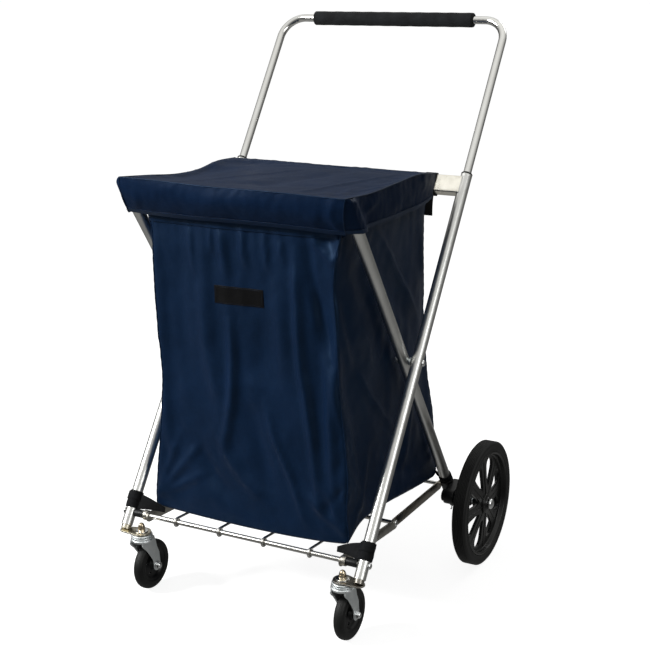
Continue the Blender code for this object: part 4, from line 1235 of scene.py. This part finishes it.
def coordinates(mesh):
    co = np.empty(len(mesh.vertices) * 3)
    mesh.vertices.foreach_get("co", co)
    return co.reshape(-1, 3)


def normals(mesh):
    out = np.empty(len(mesh.vertices) * 3)
    mesh.vertices.foreach_get("normal", out)
    return out.reshape(-1, 3)


def smooth_step(x, low, high):
    t = np.clip((x - low) / (high - low), 0, 1)
    return t * t * (3 - 2 * t)


# ---- Bag --------------------------------------------------------------------------------------------
# Bag coordinates: x as in the world, y from the front pivots to the rear, z above the floor.
BAG_TOP = 0.790
CORNER_LOW = 0.1640  # the foot of the rear left corner
CORNER_R = mm_curve(
    (165, 216.5), (230, 210), (300, 212), (370, 207), (460, 197), (560, 193), (670, 188), (720, 196),
    (760, 206), (820, 211),
)
CORNER_L = mm_curve(
    (165, 216.5), (200, 215), (300, 204), (420, 190), (530, 192), (660, 194), (730, 196), (760, 202),
    (820, 211),
)
FRONT_Y = mm_curve((165, 29), (300, 33), (500, 36), (660, 37), (750, 38.5), (820, 38.5))
REAR_Y = mm_curve((165, 424), (330, 418), (470, 400), (600, 398), (710, 380), (800, 386), (820, 390))
REAR_X = mm_curve((165, 212), (300, 205), (460, 195), (600, 197), (710, 204), (820, 214))
SIDE_LOW = curve((0.0, 0.1800), (0.11, 0.1980), (0.25, 0.2000), (0.45, 0.1920), (0.70, 0.1760), (1.0, 0.1580))
MOST_X = 0.2165  # clear of the rear legs


def bag_ring(t, side_count, front_count):
    """One row of the bag's wall from the front left corner round; t runs from 0, its foot, to 1, its top."""
    a, b = np.linspace(0, 1, front_count + 1)[:-1], np.linspace(0, 1, side_count + 1)[:-1]
    low_front = 0.1670 + 0.0080 * a ** 6 + 0.0015 * (1 - a) ** 6
    low_rear = 0.1560 + 0.0080 * np.abs(2 * a - 1) ** 3
    rows = []
    z = low_front + (BAG_TOP - low_front) * t
    belly = 0.011 * np.exp(-((z - 0.30) / 0.17) ** 2) + 0.002
    rows.append(np.c_[-CORNER_L(z) + (CORNER_L(z) + CORNER_R(z)) * a, FRONT_Y(z) - belly * np.sin(pi * a), z])
    for s in (1, -1):
        low = SIDE_LOW(b)
        z = low + (BAG_TOP - low) * t
        near = CORNER_R(z) if s > 0 else CORNER_L(z)
        belly = (0.0155 * np.exp(-((z - 0.48) / 0.20) ** 2) + 0.002) * np.sin(pi * b) ** 0.75
        x = np.minimum(near + (REAR_X(z) - near) * b + belly, MOST_X)
        rows.append(np.c_[s * x, FRONT_Y(z) + (REAR_Y(z) - FRONT_Y(z)) * b, z])
    z = low_rear + (BAG_TOP - low_rear) * t
    rear = np.c_[REAR_X(z) * (1 - 2 * a), REAR_Y(z) + 0.006 * np.sin(pi * a), z]
    z = CORNER_LOW + (BAG_TOP - CORNER_LOW) * t
    corner = [[-REAR_X(z), REAR_Y(z), z]]
    return np.r_[rows[0], rows[1], rear, corner, rows[2][1:][::-1]]


def bag_grid(rows, side_count, front_count):
    heights = np.linspace(0, 1, rows)
    wall = np.array([bag_ring(t, side_count, front_count) for t in heights])
    wall = np.concatenate([wall, wall[:, :1]], axis=1)
    ring = wall[0]
    centre = np.array([0, 0.215, 0])
    floor = []
    for r in np.linspace(1, 0.04, 18):
        level = centre + (ring - centre) * r
        on_wires = np.interp(level[:, 1], [0.0, 0.2231, 0.45], [0.1690, 0.1475, 0.1450])
        level[:, 2] = on_wires + (ring[:, 2] - on_wires) * r ** 3
        floor.append(level)
    return wall, np.array(floor)


# Each fold: its width and height, how deep the valley beside it is, and its path on the panel; lengths in mm.
FRONT_FOLDS = (
    (10, 8.8, 0.55, (106, 745), (111, 628), (115, 517), (129, 424), (142, 309), (158, 205)),
    (9, -6, 0.3, (134, 735), (146, 660), (162, 580), (178, 520)),
    (9.5, 6.2, 0.5, (158, 560), (170, 480), (176, 400), (180, 300), (186, 225)),
    (6, 4, -0.4, (190, 700), (196, 610), (193, 520), (188, 420)),
    (6, 5, 0.5, (178, 500), (190, 440), (197, 400)),
    (8.5, 5.2, 0.4, (-44, 745), (-38, 695), (-34, 655)),
    (10.5, 8.2, 0.6, (-33, 590), (-30, 520), (-31, 438), (-53, 314)),
    (19, 5.8, 0.3, (-90, 736), (-89, 624), (-84, 508), (-65, 412), (-56, 334)),
    (24, -5.2, 0.2, (-160, 700), (-150, 560), (-135, 430)),
    (26, -5.2, 0.3, (20, 640), (30, 540), (34, 450)),
    (17, 3.6, 0.3, (70, 640), (74, 540), (80, 440)),
    (6.8, 6.4, 0.6, (38, 424), (61, 354), (87, 299), (124, 200)),
    (19, -6, 0.2, (0, 420), (26, 330), (50, 240)),
    (13, 5.2, -0.5, (-60, 350), (-20, 290), (40, 235)),
    (16, -5.5, 0.3, (-120, 330), (-90, 270), (-40, 215)),
    (6.5, 4.2, 0.5, (-110, 752), (-108, 700), (-104, 650)),
    (4.2, 4.2, 0.6, (-65, 752), (-63, 720), (-63, 696)),
    (7, 5, 0.6, (4, 752), (4, 712), (10, 672)),
    (6.2, 5.2, 0.6, (48, 752), (50, 716), (54, 676)),
    (5, 4, 0.6, (80, 752), (82, 720), (86, 690)),
    (5, 6.2, 0.4, (136, 744), (164, 722), (188, 698)),
    (4.5, 6.2, -0.4, (206, 746), (201, 722), (188, 698)),
    (8, 3.4, 0.4, (-212, 186), (-90, 262)),
    (8.5, 4, 0.5, (-212, 186), (-100, 320)),
    (7.5, 3.4, 0.5, (-212, 186), (-150, 330)),
    (8, 4.4, -0.5, (212, 186), (150, 300)),
    (8, 4, -0.5, (212, 186), (120, 262)),
    (7, 4, -0.5, (212, 186), (198, 330)),
)
SIDE_FOLDS = (
    (6.2, 5.2, -0.6, (150, 745), (176, 723), (258, 629), (346, 520)),
    (20, -6.2, 0.2, (120, 720), (190, 640), (270, 560), (325, 500)),
    (6.2, 5.2, 0.6, (90, 492), (128, 432), (222, 330)),
    (11, 6.6, -0.5, (45, 640), (60, 560), (85, 490)),
    (24, -7, 0.3, (90, 700), (140, 580), (180, 470)),
    (9.5, 5.6, -0.5, (55, 440), (62, 363), (80, 279)),
    (9.5, 5, 0.5, (50, 195), (95, 260), (120, 330)),
    (15, 4.8, 0.4, (250, 200), (290, 300), (330, 420)),
    (11, 4.6, -0.4, (400, 190), (360, 290), (330, 420)),
    (13, 4.6, 0.4, (350, 700), (360, 620), (385, 560)),
    (14, -5, 0.3, (180, 300), (230, 250), (300, 215)),
)


def sculpt_bag(co, normal):
    """Folds in the bag's front and sides, pushed out along its normals."""
    x, y, z = co.T
    lift = np.zeros(len(co))
    face_front = smooth_step(-normal[:, 1], 0.45, 0.85)
    front = folds(x, z, FRONT_FOLDS)
    front += hill(x, z, (0.174, 0.738), (0.013, 0.013), -0.0070)
    front += hill(x, z, (0.166, 0.610), (0.022, 0.090), -0.0060)
    lift += 1.25 * front * face_front
    for s in (1, -1):
        lift += folds(y, z, SIDE_FOLDS) * smooth_step(s * normal[:, 0], 0.45, 0.85)
    rear = np.zeros(len(co))
    for i in range(7):
        top = -0.17 + 0.058 * i
        rear += crease(
            x, z, [(top, 0.77), (top + 0.012 * sin(i * 2.0), 0.60), (top * 1.06, 0.46 - 0.03 * (i % 3))],
            0.0120, 0.0034, 0.4 * (-1) ** i,
        )
    for s in (1, -1):
        for turn in (40, 62, 78):
            end = (s * (0.205 - 0.17 * cos(radians(turn))), 0.180 + 0.17 * sin(radians(turn)))
            rear += crease(x, z, [(s * 0.205, 0.180), end], 0.0090, 0.0030, 0.4 * s)
    lift += rear * smooth_step(normal[:, 1], 0.45, 0.85)
    gather = smooth_step(z, 0.60, 0.75) * (1 - smooth_step(z, 0.765, 0.80))
    lift += gather * 0.0006 * np.sin(x * 150 + 4.5 * np.sin(x * 37) + y * 90 + 3 * np.sin(y * 41))
    return lift


def make_bag():
    wall, floor = bag_grid(88, 52, 56)
    for grid in (wall, floor):
        grid[:, :, 1] += FRONT.y
    mesh = grid_mesh([wall, floor], [False, True])

    def pin(co):
        y = co[1] - FRONT.y
        held = max(float(smooth_step(co[2], 0.765, 0.785)), 1 - float(smooth_step(co[2], 0.170, 0.190)))
        x, z = abs(co[0]), co[2]
        near_seam = min(abs(x - REAR_X(z)) + abs(y - REAR_Y(z)), abs(x - CORNER_R(z)) + abs(y - FRONT_Y(z)))
        return max(held, 0.35 * (1 - float(smooth_step(near_seam, 0.004, 0.03))))

    rest = coordinates(mesh)
    mesh = simulated(mesh, pin, 22, 0.008, 1.2, most=0.008)
    co = rest + (coordinates(mesh) - rest) * smooth_step(rest[:, 2], 0.175, 0.290)[:, None]
    normal = normals(mesh)
    local = co - np.array([0, FRONT.y, 0])
    move = sculpt_bag(local, normal)
    wrinkle = waves(co, 11.0, 3) * 0.0026 + waves(co * [1, 1, 0.55], 34.0, 5) * 0.0011
    wall_part = smooth_step(local[:, 2], 0.166, 0.205)
    co += normal * ((move + wrinkle * (1 - smooth_step(local[:, 2], 0.76, 0.79))) * wall_part)[:, None]
    limit = MOST_X + 0.0012
    co[:, 0] = np.clip(co[:, 0], -limit, limit)
    mesh.vertices.foreach_set("co", co.ravel())
    mesh.update()
    mesh = modified(mesh, smoothed(), thick(0.0007, -1))
    bag = piece("bag_cloth", mesh, NYLON, "front_frame", ("bag",), 60)
    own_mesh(bag)
    return bag


# ---- Lid --------------------------------------------------------------------------------------------
LID_RIGHT_Z = mm_curve((2, 823), (96, 816.5), (207, 816), (298, 815), (360, 806), (386, 802))
LID_LEFT_Z = mm_curve((2, 829), (90, 817), (190, 803), (260, 800), (330, 806), (386, 804))
LID_HEM_Z = mm_curve((0, 759), (120, 756), (220, 752.5), (330, 752.5), (400, 758))
LID_EDGE_X = mm_curve((0, 232), (100, 233.5), (220, 233), (330, 232), (386, 226))
SKIRT_ROWS = (
    0.0, 0.02, 0.06, 0.12, 0.20, 0.29, 0.38, 0.47, 0.56, 0.65, 0.73, 0.80, 0.85, 0.868, 0.878, 0.888, 0.93,
    0.97, 1.0,
)
LID_FRONT_Y, RIDGE_Y = 0.002, 0.386
SKIRT_X = 0.232  # half the front skirt's width at its top
SKIRT_BULGE, SKIRT_LEAN = 0.0022, 0.0235
LEG_TOP = CROSS - DOWN_LEG * 0.403
LEG_TOP.y -= FRONT.y
SEAM_TOP_Y, SEAM_LOW_Y = 0.304, 0.330


def lid_edge(s, y):
    """The lid's top edge on one side, at a distance y from the front pivots."""
    return s * LID_EDGE_X(y), (LID_RIGHT_Z if s > 0 else LID_LEFT_Z)(y)


def lid_top(columns, rows):
    grid = np.zeros((rows, columns, 3))
    for j, v in enumerate(np.linspace(0, 1, rows)):
        y = LID_FRONT_Y + (RIDGE_Y - LID_FRONT_Y) * v
        (x0, z0), (x1, z1) = lid_edge(-1, y), lid_edge(1, y)
        u = np.linspace(0, 1, columns)
        dome_height = 0.0075 * np.sin(pi * u) ** 0.8 * np.sin(pi * min(v * 1.02, 1)) ** 0.8
        front_wave = 0.0012 * np.sin(u * 9 + 1) * (1 - v) ** 6 * np.sin(pi * u)
        grid[j] = np.c_[
            x0 + (x1 - x0) * u, y - 0.003 * np.sin(pi * u) * (1 - v) ** 4,
            z0 + (z1 - z0) * u + dome_height + front_wave,
        ]
    return grid


def skirt_tuck(s, t):
    """How far the skirt's front corner draws in below the lid's edge."""
    return (0.0125 if s > 0 else -0.0010) * t


def skirt_front(columns):
    grid = np.zeros((len(SKIRT_ROWS), columns, 3))
    u = np.linspace(0, 1, columns)
    top = lid_top(columns, 2)[0]
    for j, t in enumerate(SKIRT_ROWS):
        left, right = skirt_tuck(-1, t) - SKIRT_X, SKIRT_X - skirt_tuck(1, t)
        hem_z = 0.7610 - 0.0040 * u - 0.0015 * np.sin(u * 7)
        y = top[:, 1] + SKIRT_LEAN * t ** 1.9 - (0.0035 * np.sin(pi * t) + 0.002 * t) * np.sin(pi * u) ** 0.5
        y -= SKIRT_BULGE * sin(pi * t)
        grid[j] = np.c_[left + (right - left) * u, y, top[:, 2] + (hem_z - top[:, 2]) * t]
    return grid


def skirt_side(s, columns):
    grid = np.zeros((len(SKIRT_ROWS), columns, 3))
    b = np.linspace(0, 1, columns) ** 1.25
    top_y = LID_FRONT_Y + (RIDGE_Y - LID_FRONT_Y) * b
    top_x, top_z = LID_EDGE_X(top_y), (LID_RIGHT_Z if s > 0 else LID_LEFT_Z)(top_y)
    for j, t in enumerate(SKIRT_ROWS):
        y = top_y + (SKIRT_LEAN * (1 - b) - 0.012 * b) * t ** 1.9
        hem_z = LID_HEM_Z(y)
        z = top_z + (hem_z - top_z) * t
        near = np.exp(-b / 0.05)
        y -= SKIRT_BULGE * sin(pi * t) * near
        tuck = skirt_tuck(s, t)
        x = top_x - tuck * near - 0.0035 * t * (1 - near) + 0.0022 * sin(pi * t) * np.sin(pi * b)
        leg_y = LEG_TOP.y + (LEG_TOP.z - z) * 0.63
        rise = smooth_step(y - y[0], 0, np.maximum(leg_y - 0.007 - y[0], 0.006))
        fall = np.exp(-(np.maximum(y - leg_y - 0.004, 0) / 0.020) ** 2)
        over = rise * fall * float(smooth_step(t, -0.10, 0.10))
        x = x + np.maximum(0.2452 - x, 0) * over
        grid[j] = np.c_[s * x, y, z]
    return grid


def lid_rear(columns):
    """The strip behind the rear ridge, sewn to the lid at its top and to the bag at its foot."""
    ridge = lid_top(columns, 2)[1]
    rows = (
        (-0.0080, -0.0010), (0.0, 0.0002), (0.0035, -0.0050), (0.0045, -0.0130), (0.0040, -0.0220),
        (0.0020, -0.0310), (-0.0020, -0.0400), (-0.0070, -0.0480),
    )
    grid = np.array([ridge + [0, y, z] for y, z in rows])
    grid[:, :, 0] *= (1 - np.linspace(0, 0.05, len(rows)))[:, None]
    return grid


def make_lid_flap():
    """The strip behind the lid's rear ridge, as one thickened piece attached to no body."""
    grid = lid_rear(66)
    grid[:, :, 1] += FRONT.y
    mesh = modified(
        grid_mesh([grid], [False]),
        smoothed(2),
        thick(0.0009),
    )
    flap = piece("lid_flap", mesh, LID_NYLON_PAINTED_LIGHT, None)
    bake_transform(flap)


LID_TOP_FOLDS = (
    (6.5, 3.4, -0.6, (-150, 30), (-120, 130), (-60, 250), (0, 340)),
    (6.5, 3.6, -0.6, (104, 50), (144, 189), (195, 325)),
    (26, -4, 0.3, (0, 100), (40, 210), (80, 330)),
    (24, -3, 0.3, (-130, 60), (-20, 110), (110, 120)),
    (12, 3, 0.5, (-200, 300), (-60, 345), (100, 340), (200, 345)),
    (6, 2.4, 0.4, (185, 35), (165, 60), (150, 90)),
    (8, 2.4, -0.4, (205, 45), (180, 100), (175, 160)),
)
LID_FRONT_FOLDS = (
    (6, 3.6, 0.7, (212, 818), (200, 792), (213, 764)),
    (9, 2, -0.4, (190, 800), (170, 780), (175, 765)),
    (8, 2.6, -0.5, (-215, 815), (-195, 790), (-210, 765)),
    (14, 1.8, 0.4, (-150, 815), (-60, 795), (60, 802), (140, 790)),
)
LID_SIDE_FOLDS = (
    (8, 2.6, 0.6, (60, 770), (85, 785), (130, 800)),
    (12, -3, 0.4, (55, 795), (80, 780), (100, 765)),
    (12, 1.6, -0.4, (150, 765), (200, 780), (240, 800)),
)


def sculpt_lid(co, normal):
    """Folds in the lid's top and skirt, and the seam in each of its sides."""
    x, y, z = co.T
    lift = np.zeros(len(co))
    lift += folds(x, y, LID_TOP_FOLDS) * smooth_step(normal[:, 2], 0.5, 0.9)
    lift += folds(x, z, LID_FRONT_FOLDS) * smooth_step(-normal[:, 1], 0.45, 0.85)
    for s in (1, -1):
        side = folds(y, z, LID_SIDE_FOLDS)
        for shift, width, height in ((0, 0.0016, -0.0013), (0.004, 0.0022, 0.0008)):
            seam = [(SEAM_TOP_Y + shift, 0.816), (SEAM_LOW_Y + shift, 0.750)]
            side += crease(y, z, seam, width, height, 0.0, True)
        lift += side * smooth_step(s * normal[:, 0], 0.45, 0.85)
    return lift


def make_lid():
    top = lid_top(66, 54)
    sides = [skirt_side(s, 60) for s in (-1, 1)]
    front = skirt_front(66)
    grids = [top, front, *sides]
    for grid in grids:
        grid[:, :, 1] += FRONT.y
    mesh = grid_mesh(grids, [False, True, False, True], 0.0004)

    def pin(co):
        y = co[1] - FRONT.y
        inner = min(LID_EDGE_X(y) - abs(co[0]), y - LID_FRONT_Y, RIDGE_Y - y)
        on_top = co[2] > 0.797
        return 1 - float(smooth_step(inner, 0.0, 0.02)) if on_top and inner > 0 else 0.75

    mesh = simulated(mesh, pin, 18, 0.012, 2.0, gravity=0.15, most=0.007)
    co, normal = coordinates(mesh), normals(mesh)
    local = co - np.array([0, FRONT.y, 0])
    fine = waves(co, 14.0, 9) * 0.0018 + waves(co, 42.0, 4) * 0.0008
    x, y = local[:, 0], local[:, 1]
    edge_gap = np.minimum(np.minimum(LID_EDGE_X(y) - np.abs(x), y - LID_FRONT_Y), RIDGE_Y - y)
    ripple = np.sin(x * 480 + y * 520 + 3 * np.sin(x * 61 + y * 53))
    pucker = np.exp(-(np.maximum(edge_gap, 0) / 0.012) ** 2) * 0.0005 * ripple
    co += normal * (sculpt_lid(local, normal) + fine + pucker)[:, None]
    mesh.vertices.foreach_set("co", co.ravel())
    mesh.update()
    mesh = modified(mesh, smoothed(), thick(0.0009, -1))
    lid = piece("lid_cloth", mesh, LID_NYLON_PAINTED_LIGHT, "lid", ("bag_lid",), 60)
    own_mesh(lid)
    from_edges = [top[0], top[:, 0], top[:, -1], front[:, -1], front[:, 0]]
    seam = [sweep(proud_of(line, 0.0006), 0.0010, 8) for line in from_edges]
    ride_cloth("lid_seams", seam, NYLON, "lid")
    ride_cloth("lid_hem", hem_band([front, *sides]), NYLON, "lid")
    ride_cloth("lid_stitches", stitches([grid[-5] for grid in (front, *sides)], 0.0013), THREAD, "lid")


def ride_cloth(name, mesh, material, body):
    """A trim on the cloth, attached to the given body, with a mesh of its own."""
    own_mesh(piece(name, mesh, material, body))


def outward(point):
    """Away from the bag's upright middle line, level."""
    away = Vector((point.x, (point.y - FRONT.y - 0.20) * 1.15, 0))
    side = abs(away.x) > abs(away.y)
    return Vector((1 if away.x > 0 else -1, 0, 0)) if side else Vector((0, 1 if away.y > 0 else -1, 0))


def proud_of(points, gap):
    """The points, moved outward by gap."""
    return [Vector(p) + outward(Vector(p)) * gap for p in points]


def hem_band(grids):
    """The folded hem: the last rows again, a little proud of the cloth."""
    bands = [np.array([proud_of(row, 0.0011) for row in grid[-4:]]) for grid in grids]
    return [modified(grid_mesh([band], [False]), thick(0.0016)) for band in bands]


def stitches(lines, proud, pitch=0.0042, length=0.0030, radius=0.00028):
    """A row of short threads along each line of points."""
    parts = []
    for line in lines:
        points = proud_of(line, proud)
        runs = np.r_[0, np.cumsum([(b - a).length for a, b in zip(points, points[1:])])]
        coords = np.array(points)
        start = pitch
        while start + length < runs[-1] - pitch:
            ends = [
                Vector([np.interp(at, runs, coords[:, k]) for k in range(3)])
                for at in (start, start + length)
            ]
            parts.append(thread(*ends, radius))
            start += pitch
    return parts


def thread(start, end, radius):
    run = (end - start).normalized()
    side = run.orthogonal().normalized()
    up = run.cross(side)
    verts, faces = [], []
    for at, r in ((0, 0.3), (0.15, 1), (0.85, 1), (1, 0.3)):
        for k in range(5):
            a = 2 * pi * k / 5
            verts.append(start.lerp(end, at) + side * (radius * r * cos(a)) + up * (radius * r * sin(a)))
    for i in range(3):
        faces += [(i * 5 + k, i * 5 + (k + 1) % 5, i * 5 + 5 + (k + 1) % 5, i * 5 + 5 + k) for k in range(5)]
    faces += [tuple(range(5))[::-1], tuple(range(15, 20))]
    return mesh_of(verts, faces)


# ---- Trims on the bag -------------------------------------------------------------------------------
def surface_tree(obj):
    return BVHTree.FromPolygons(
        [v.co[:] for v in obj.data.vertices], [p.vertices[:] for p in obj.data.polygons]
    )


def onto(tree, origin, direction, off):
    """Where a ray meets the cloth, a little in front of it."""
    origin, direction = Vector(origin), Vector(direction)
    hit = tree.ray_cast(origin, direction)[0] or tree.find_nearest(origin)[0]
    return hit - direction * off


def make_label(tree):
    """A blank satin label with a stitched edge."""
    rows = []
    left, right, low, high = -0.0585, 0.0435, 0.6025, 0.6365
    for v in np.linspace(0, 1, 16):
        rows.append(
            [
                onto(tree, (left + (right - left) * u, FRONT.y - 0.2, low + (high - low) * v), Y, 0.0009)
                for u in np.linspace(0, 1, 34)
            ]
        )
    grid = np.array(rows)
    mesh = modified(grid_mesh([grid], [False]), thick(0.0009, -1), bevelled(0.0003))
    label = piece("blank_label", mesh, LABEL, "front_frame")
    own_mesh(label)
    lines = [grid[1, 1:-1], grid[-2, 1:-1], grid[1:-1, 1], grid[1:-1, -2]]
    edge = stitches(lines, 0.0004, 0.0032, 0.0022, 0.00022)
    edge = piece("label_stitches", edge, THREAD, "front_frame")
    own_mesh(edge)


def make_bag_seams(tree):
    """The bound seam down each corner."""
    parts = []
    for s, across, along_y in (
        (1, CORNER_R, FRONT_Y), (-1, CORNER_L, FRONT_Y), (1, REAR_X, REAR_Y), (-1, REAR_X, REAR_Y),
    ):
        points = []
        for z in np.linspace(0.172, 0.790, 90):
            guess = Vector((s * float(across(z)), FRONT.y + float(along_y(z)), z))
            hit = tree.find_nearest(guess)[0]
            points.append(hit + Vector((s * 0.0002, 0.0004 * (1 if along_y is REAR_Y else -1), 0)))
        radii = [0.0012 + 0.0003 * sin(i * 2.3) for i in range(len(points))]
        parts.append(sweep(points, radii, 8))
    ride_cloth("bag_seams", parts, NYLON, "front_frame")


def make_bag_hem(bag_tree):
    """A band of doubled cloth round the bag's mouth, which the lid mostly covers."""
    rows = []
    low, high = 0.7435, 0.7660
    places = np.linspace(-0.199, 0.199, 60)
    for z in (low, low + 0.0015, low + 0.008, low + 0.016, high):
        row = []
        for x in places:
            row.append(onto(bag_tree, (x, FRONT.y - 0.2, z), Y, 0.0022 + 0.0004 * sin(x * 90)))
        rows.append(row)
    front = modified(grid_mesh([np.array(rows)], [False]), thick(0.0014), smoothed())
    parts = [front]
    for s in (1, -1):
        rows = []
        for z in (low + 0.002, low + 0.0035, low + 0.010, high):
            rows.append(
                [
                    onto(bag_tree, (s * 0.30, FRONT.y + y, z - 0.004 * y / 0.3), (-s, 0, 0), 0.0014)
                    for y in np.linspace(0.032, 0.372, 50)
                ]
            )
        parts.append(modified(grid_mesh([np.array(rows)], [s < 0]), thick(0.0012), smoothed()))
    ride_cloth("bag_hem", parts, NYLON, "front_frame")


def ribbon(points, across, width, thickness=0.0016):
    """A flat strap along points; across gives its width's direction at each point."""
    grid = []
    for point, side, wide in zip(points, across, np.broadcast_to(width, len(points))):
        side = Vector(side).normalized()
        grid.append([Vector(point) + side * (float(wide) * (k / 4 - 0.5)) for k in range(5)])
    mesh = grid_mesh([np.array(grid)], [False])
    return modified(mesh, thick(thickness), bevelled(0.0004))


def make_straps():
    for side, s in SIDES:
        foot = at_x(FRONT, s * LONG_X)
        ring = [
            (TUBE_R + 0.0004, 0.0170), (TUBE_R + 0.0024, 0.0170), (TUBE_R + 0.0030, 0.0100),
            (TUBE_R + 0.0025, 0.0020), (TUBE_R + 0.0032, -0.0070), (TUBE_R + 0.0026, -0.0170),
            (TUBE_R + 0.0004, -0.0170),
        ]
        sleeve = lathe(filleted(ring, 0.0012, 4), 40, foot + ALONG * 0.0245, ALONG)
        start = foot + ALONG * 0.0245 + Vector((-s * 0.0115, -0.004, 0))
        end = Vector((s * 0.192, FRONT.y + 0.0235, 0.1655))
        path = [
            start.lerp(end, t) + Vector((0, -0.0020 * sin(pi * t), 0.003 * sin(pi * t)))
            for t in np.linspace(0, 1, 10)
        ]
        up = [ALONG * (1 - t) + Vector((0, 0.25, 0.95)) * t for t in np.linspace(0, 1, 10)]
        tail = ribbon(path, up, np.linspace(0.032, 0.010, 10))
        turns = np.linspace(-1.3, 1.5, 12)
        wrap = [foot + ALONG * 0.031 + (ACROSS * cos(a) + X * (s * sin(a))) * 0.0148 for a in turns]
        wrap = ribbon(wrap, [ALONG] * 12, 0.016, 0.0014)
        piece(
            f"foot_strap_{side}", [sleeve, tail, wrap], WEBBING, "front_frame",
            (f"front_strap_{side}",),
        )

        centre = middle("top_cross_plate")
        inner, outer = rounded_box(0.0187, 0.0117, 0.0030, 5), rounded_box(0.0205, 0.0135, 0.004, 5)
        band = section(inner, outer, at_x(centre, s * 0.190), ALONG, ACROSS, X, 0.012)
        hang = [
            Vector((s * 0.190, centre.y - 0.0150 - 0.009 * sin(pi * 0.5 * t), centre.z - 0.004 - 0.054 * t))
            for t in np.linspace(0, 1, 9)
        ]
        flap = ribbon(hang, [(1, 0.03 * sin(i), 0) for i in range(9)], 0.024, 0.0022)
        piece(
            f"plate_strap_{side}", [band, flap], VELCRO, "front_frame",
            (f"top_strap_{side}",),
        )
        corner = Vector((s * 0.209, FRONT.y + 0.398, 0.758))
        shifts = mm((4, -40, -4), (6, -20, 0), (2, 4, 2), (-12, 16, 3))
        tie_path = [corner + Vector((s * x, y, z)) for x, y, z in shifts]
        tie_path = smooth_path(tie_path, 0.01, 5)
        tie = ribbon(tie_path, [Z] * len(tie_path), 0.014, 0.0018)
        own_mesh(piece(f"rear_tab_{side}", tie, WEBBING, "front_frame"))

        grip = REAR - DOWN_LEG * 0.034
        ring = [
            (TUBE_R + 0.0003, 0.0065), (TUBE_R + 0.0022, 0.0060), (TUBE_R + 0.0027, 0),
            (TUBE_R + 0.0022, -0.0060), (TUBE_R + 0.0003, -0.0065),
        ]
        loop = lathe(filleted(ring, 0.0008, 3), 36, at_x(grip, s * LEG_X), DOWN_LEG)
        start = at_x(grip, s * (LEG_X - TUBE_R - 0.0008))
        end = Vector((s * 0.2085, FRONT.y + 0.416, 0.180))
        path = [start.lerp(end, t) + Vector((0, 0, -0.004 * sin(pi * t))) for t in np.linspace(0, 1, 8)]
        tie = ribbon(path, [Vector((0, -0.3, 1))] * 8, 0.013, 0.0016)
        piece(f"rear_strap_{side}", [loop, tie], WEBBING, "rear_frame")


aim_camera()
make_studio()
make_tubes()
make_handle()
make_cross_plate()
make_bolts()
make_base()
make_brackets()
make_rear_wheels()
make_casters()
cloth = surface_tree(make_bag())
make_lid()
make_lid_flap()
make_bag_hem(cloth)
make_bag_seams(cloth)
make_label(cloth)
make_straps()
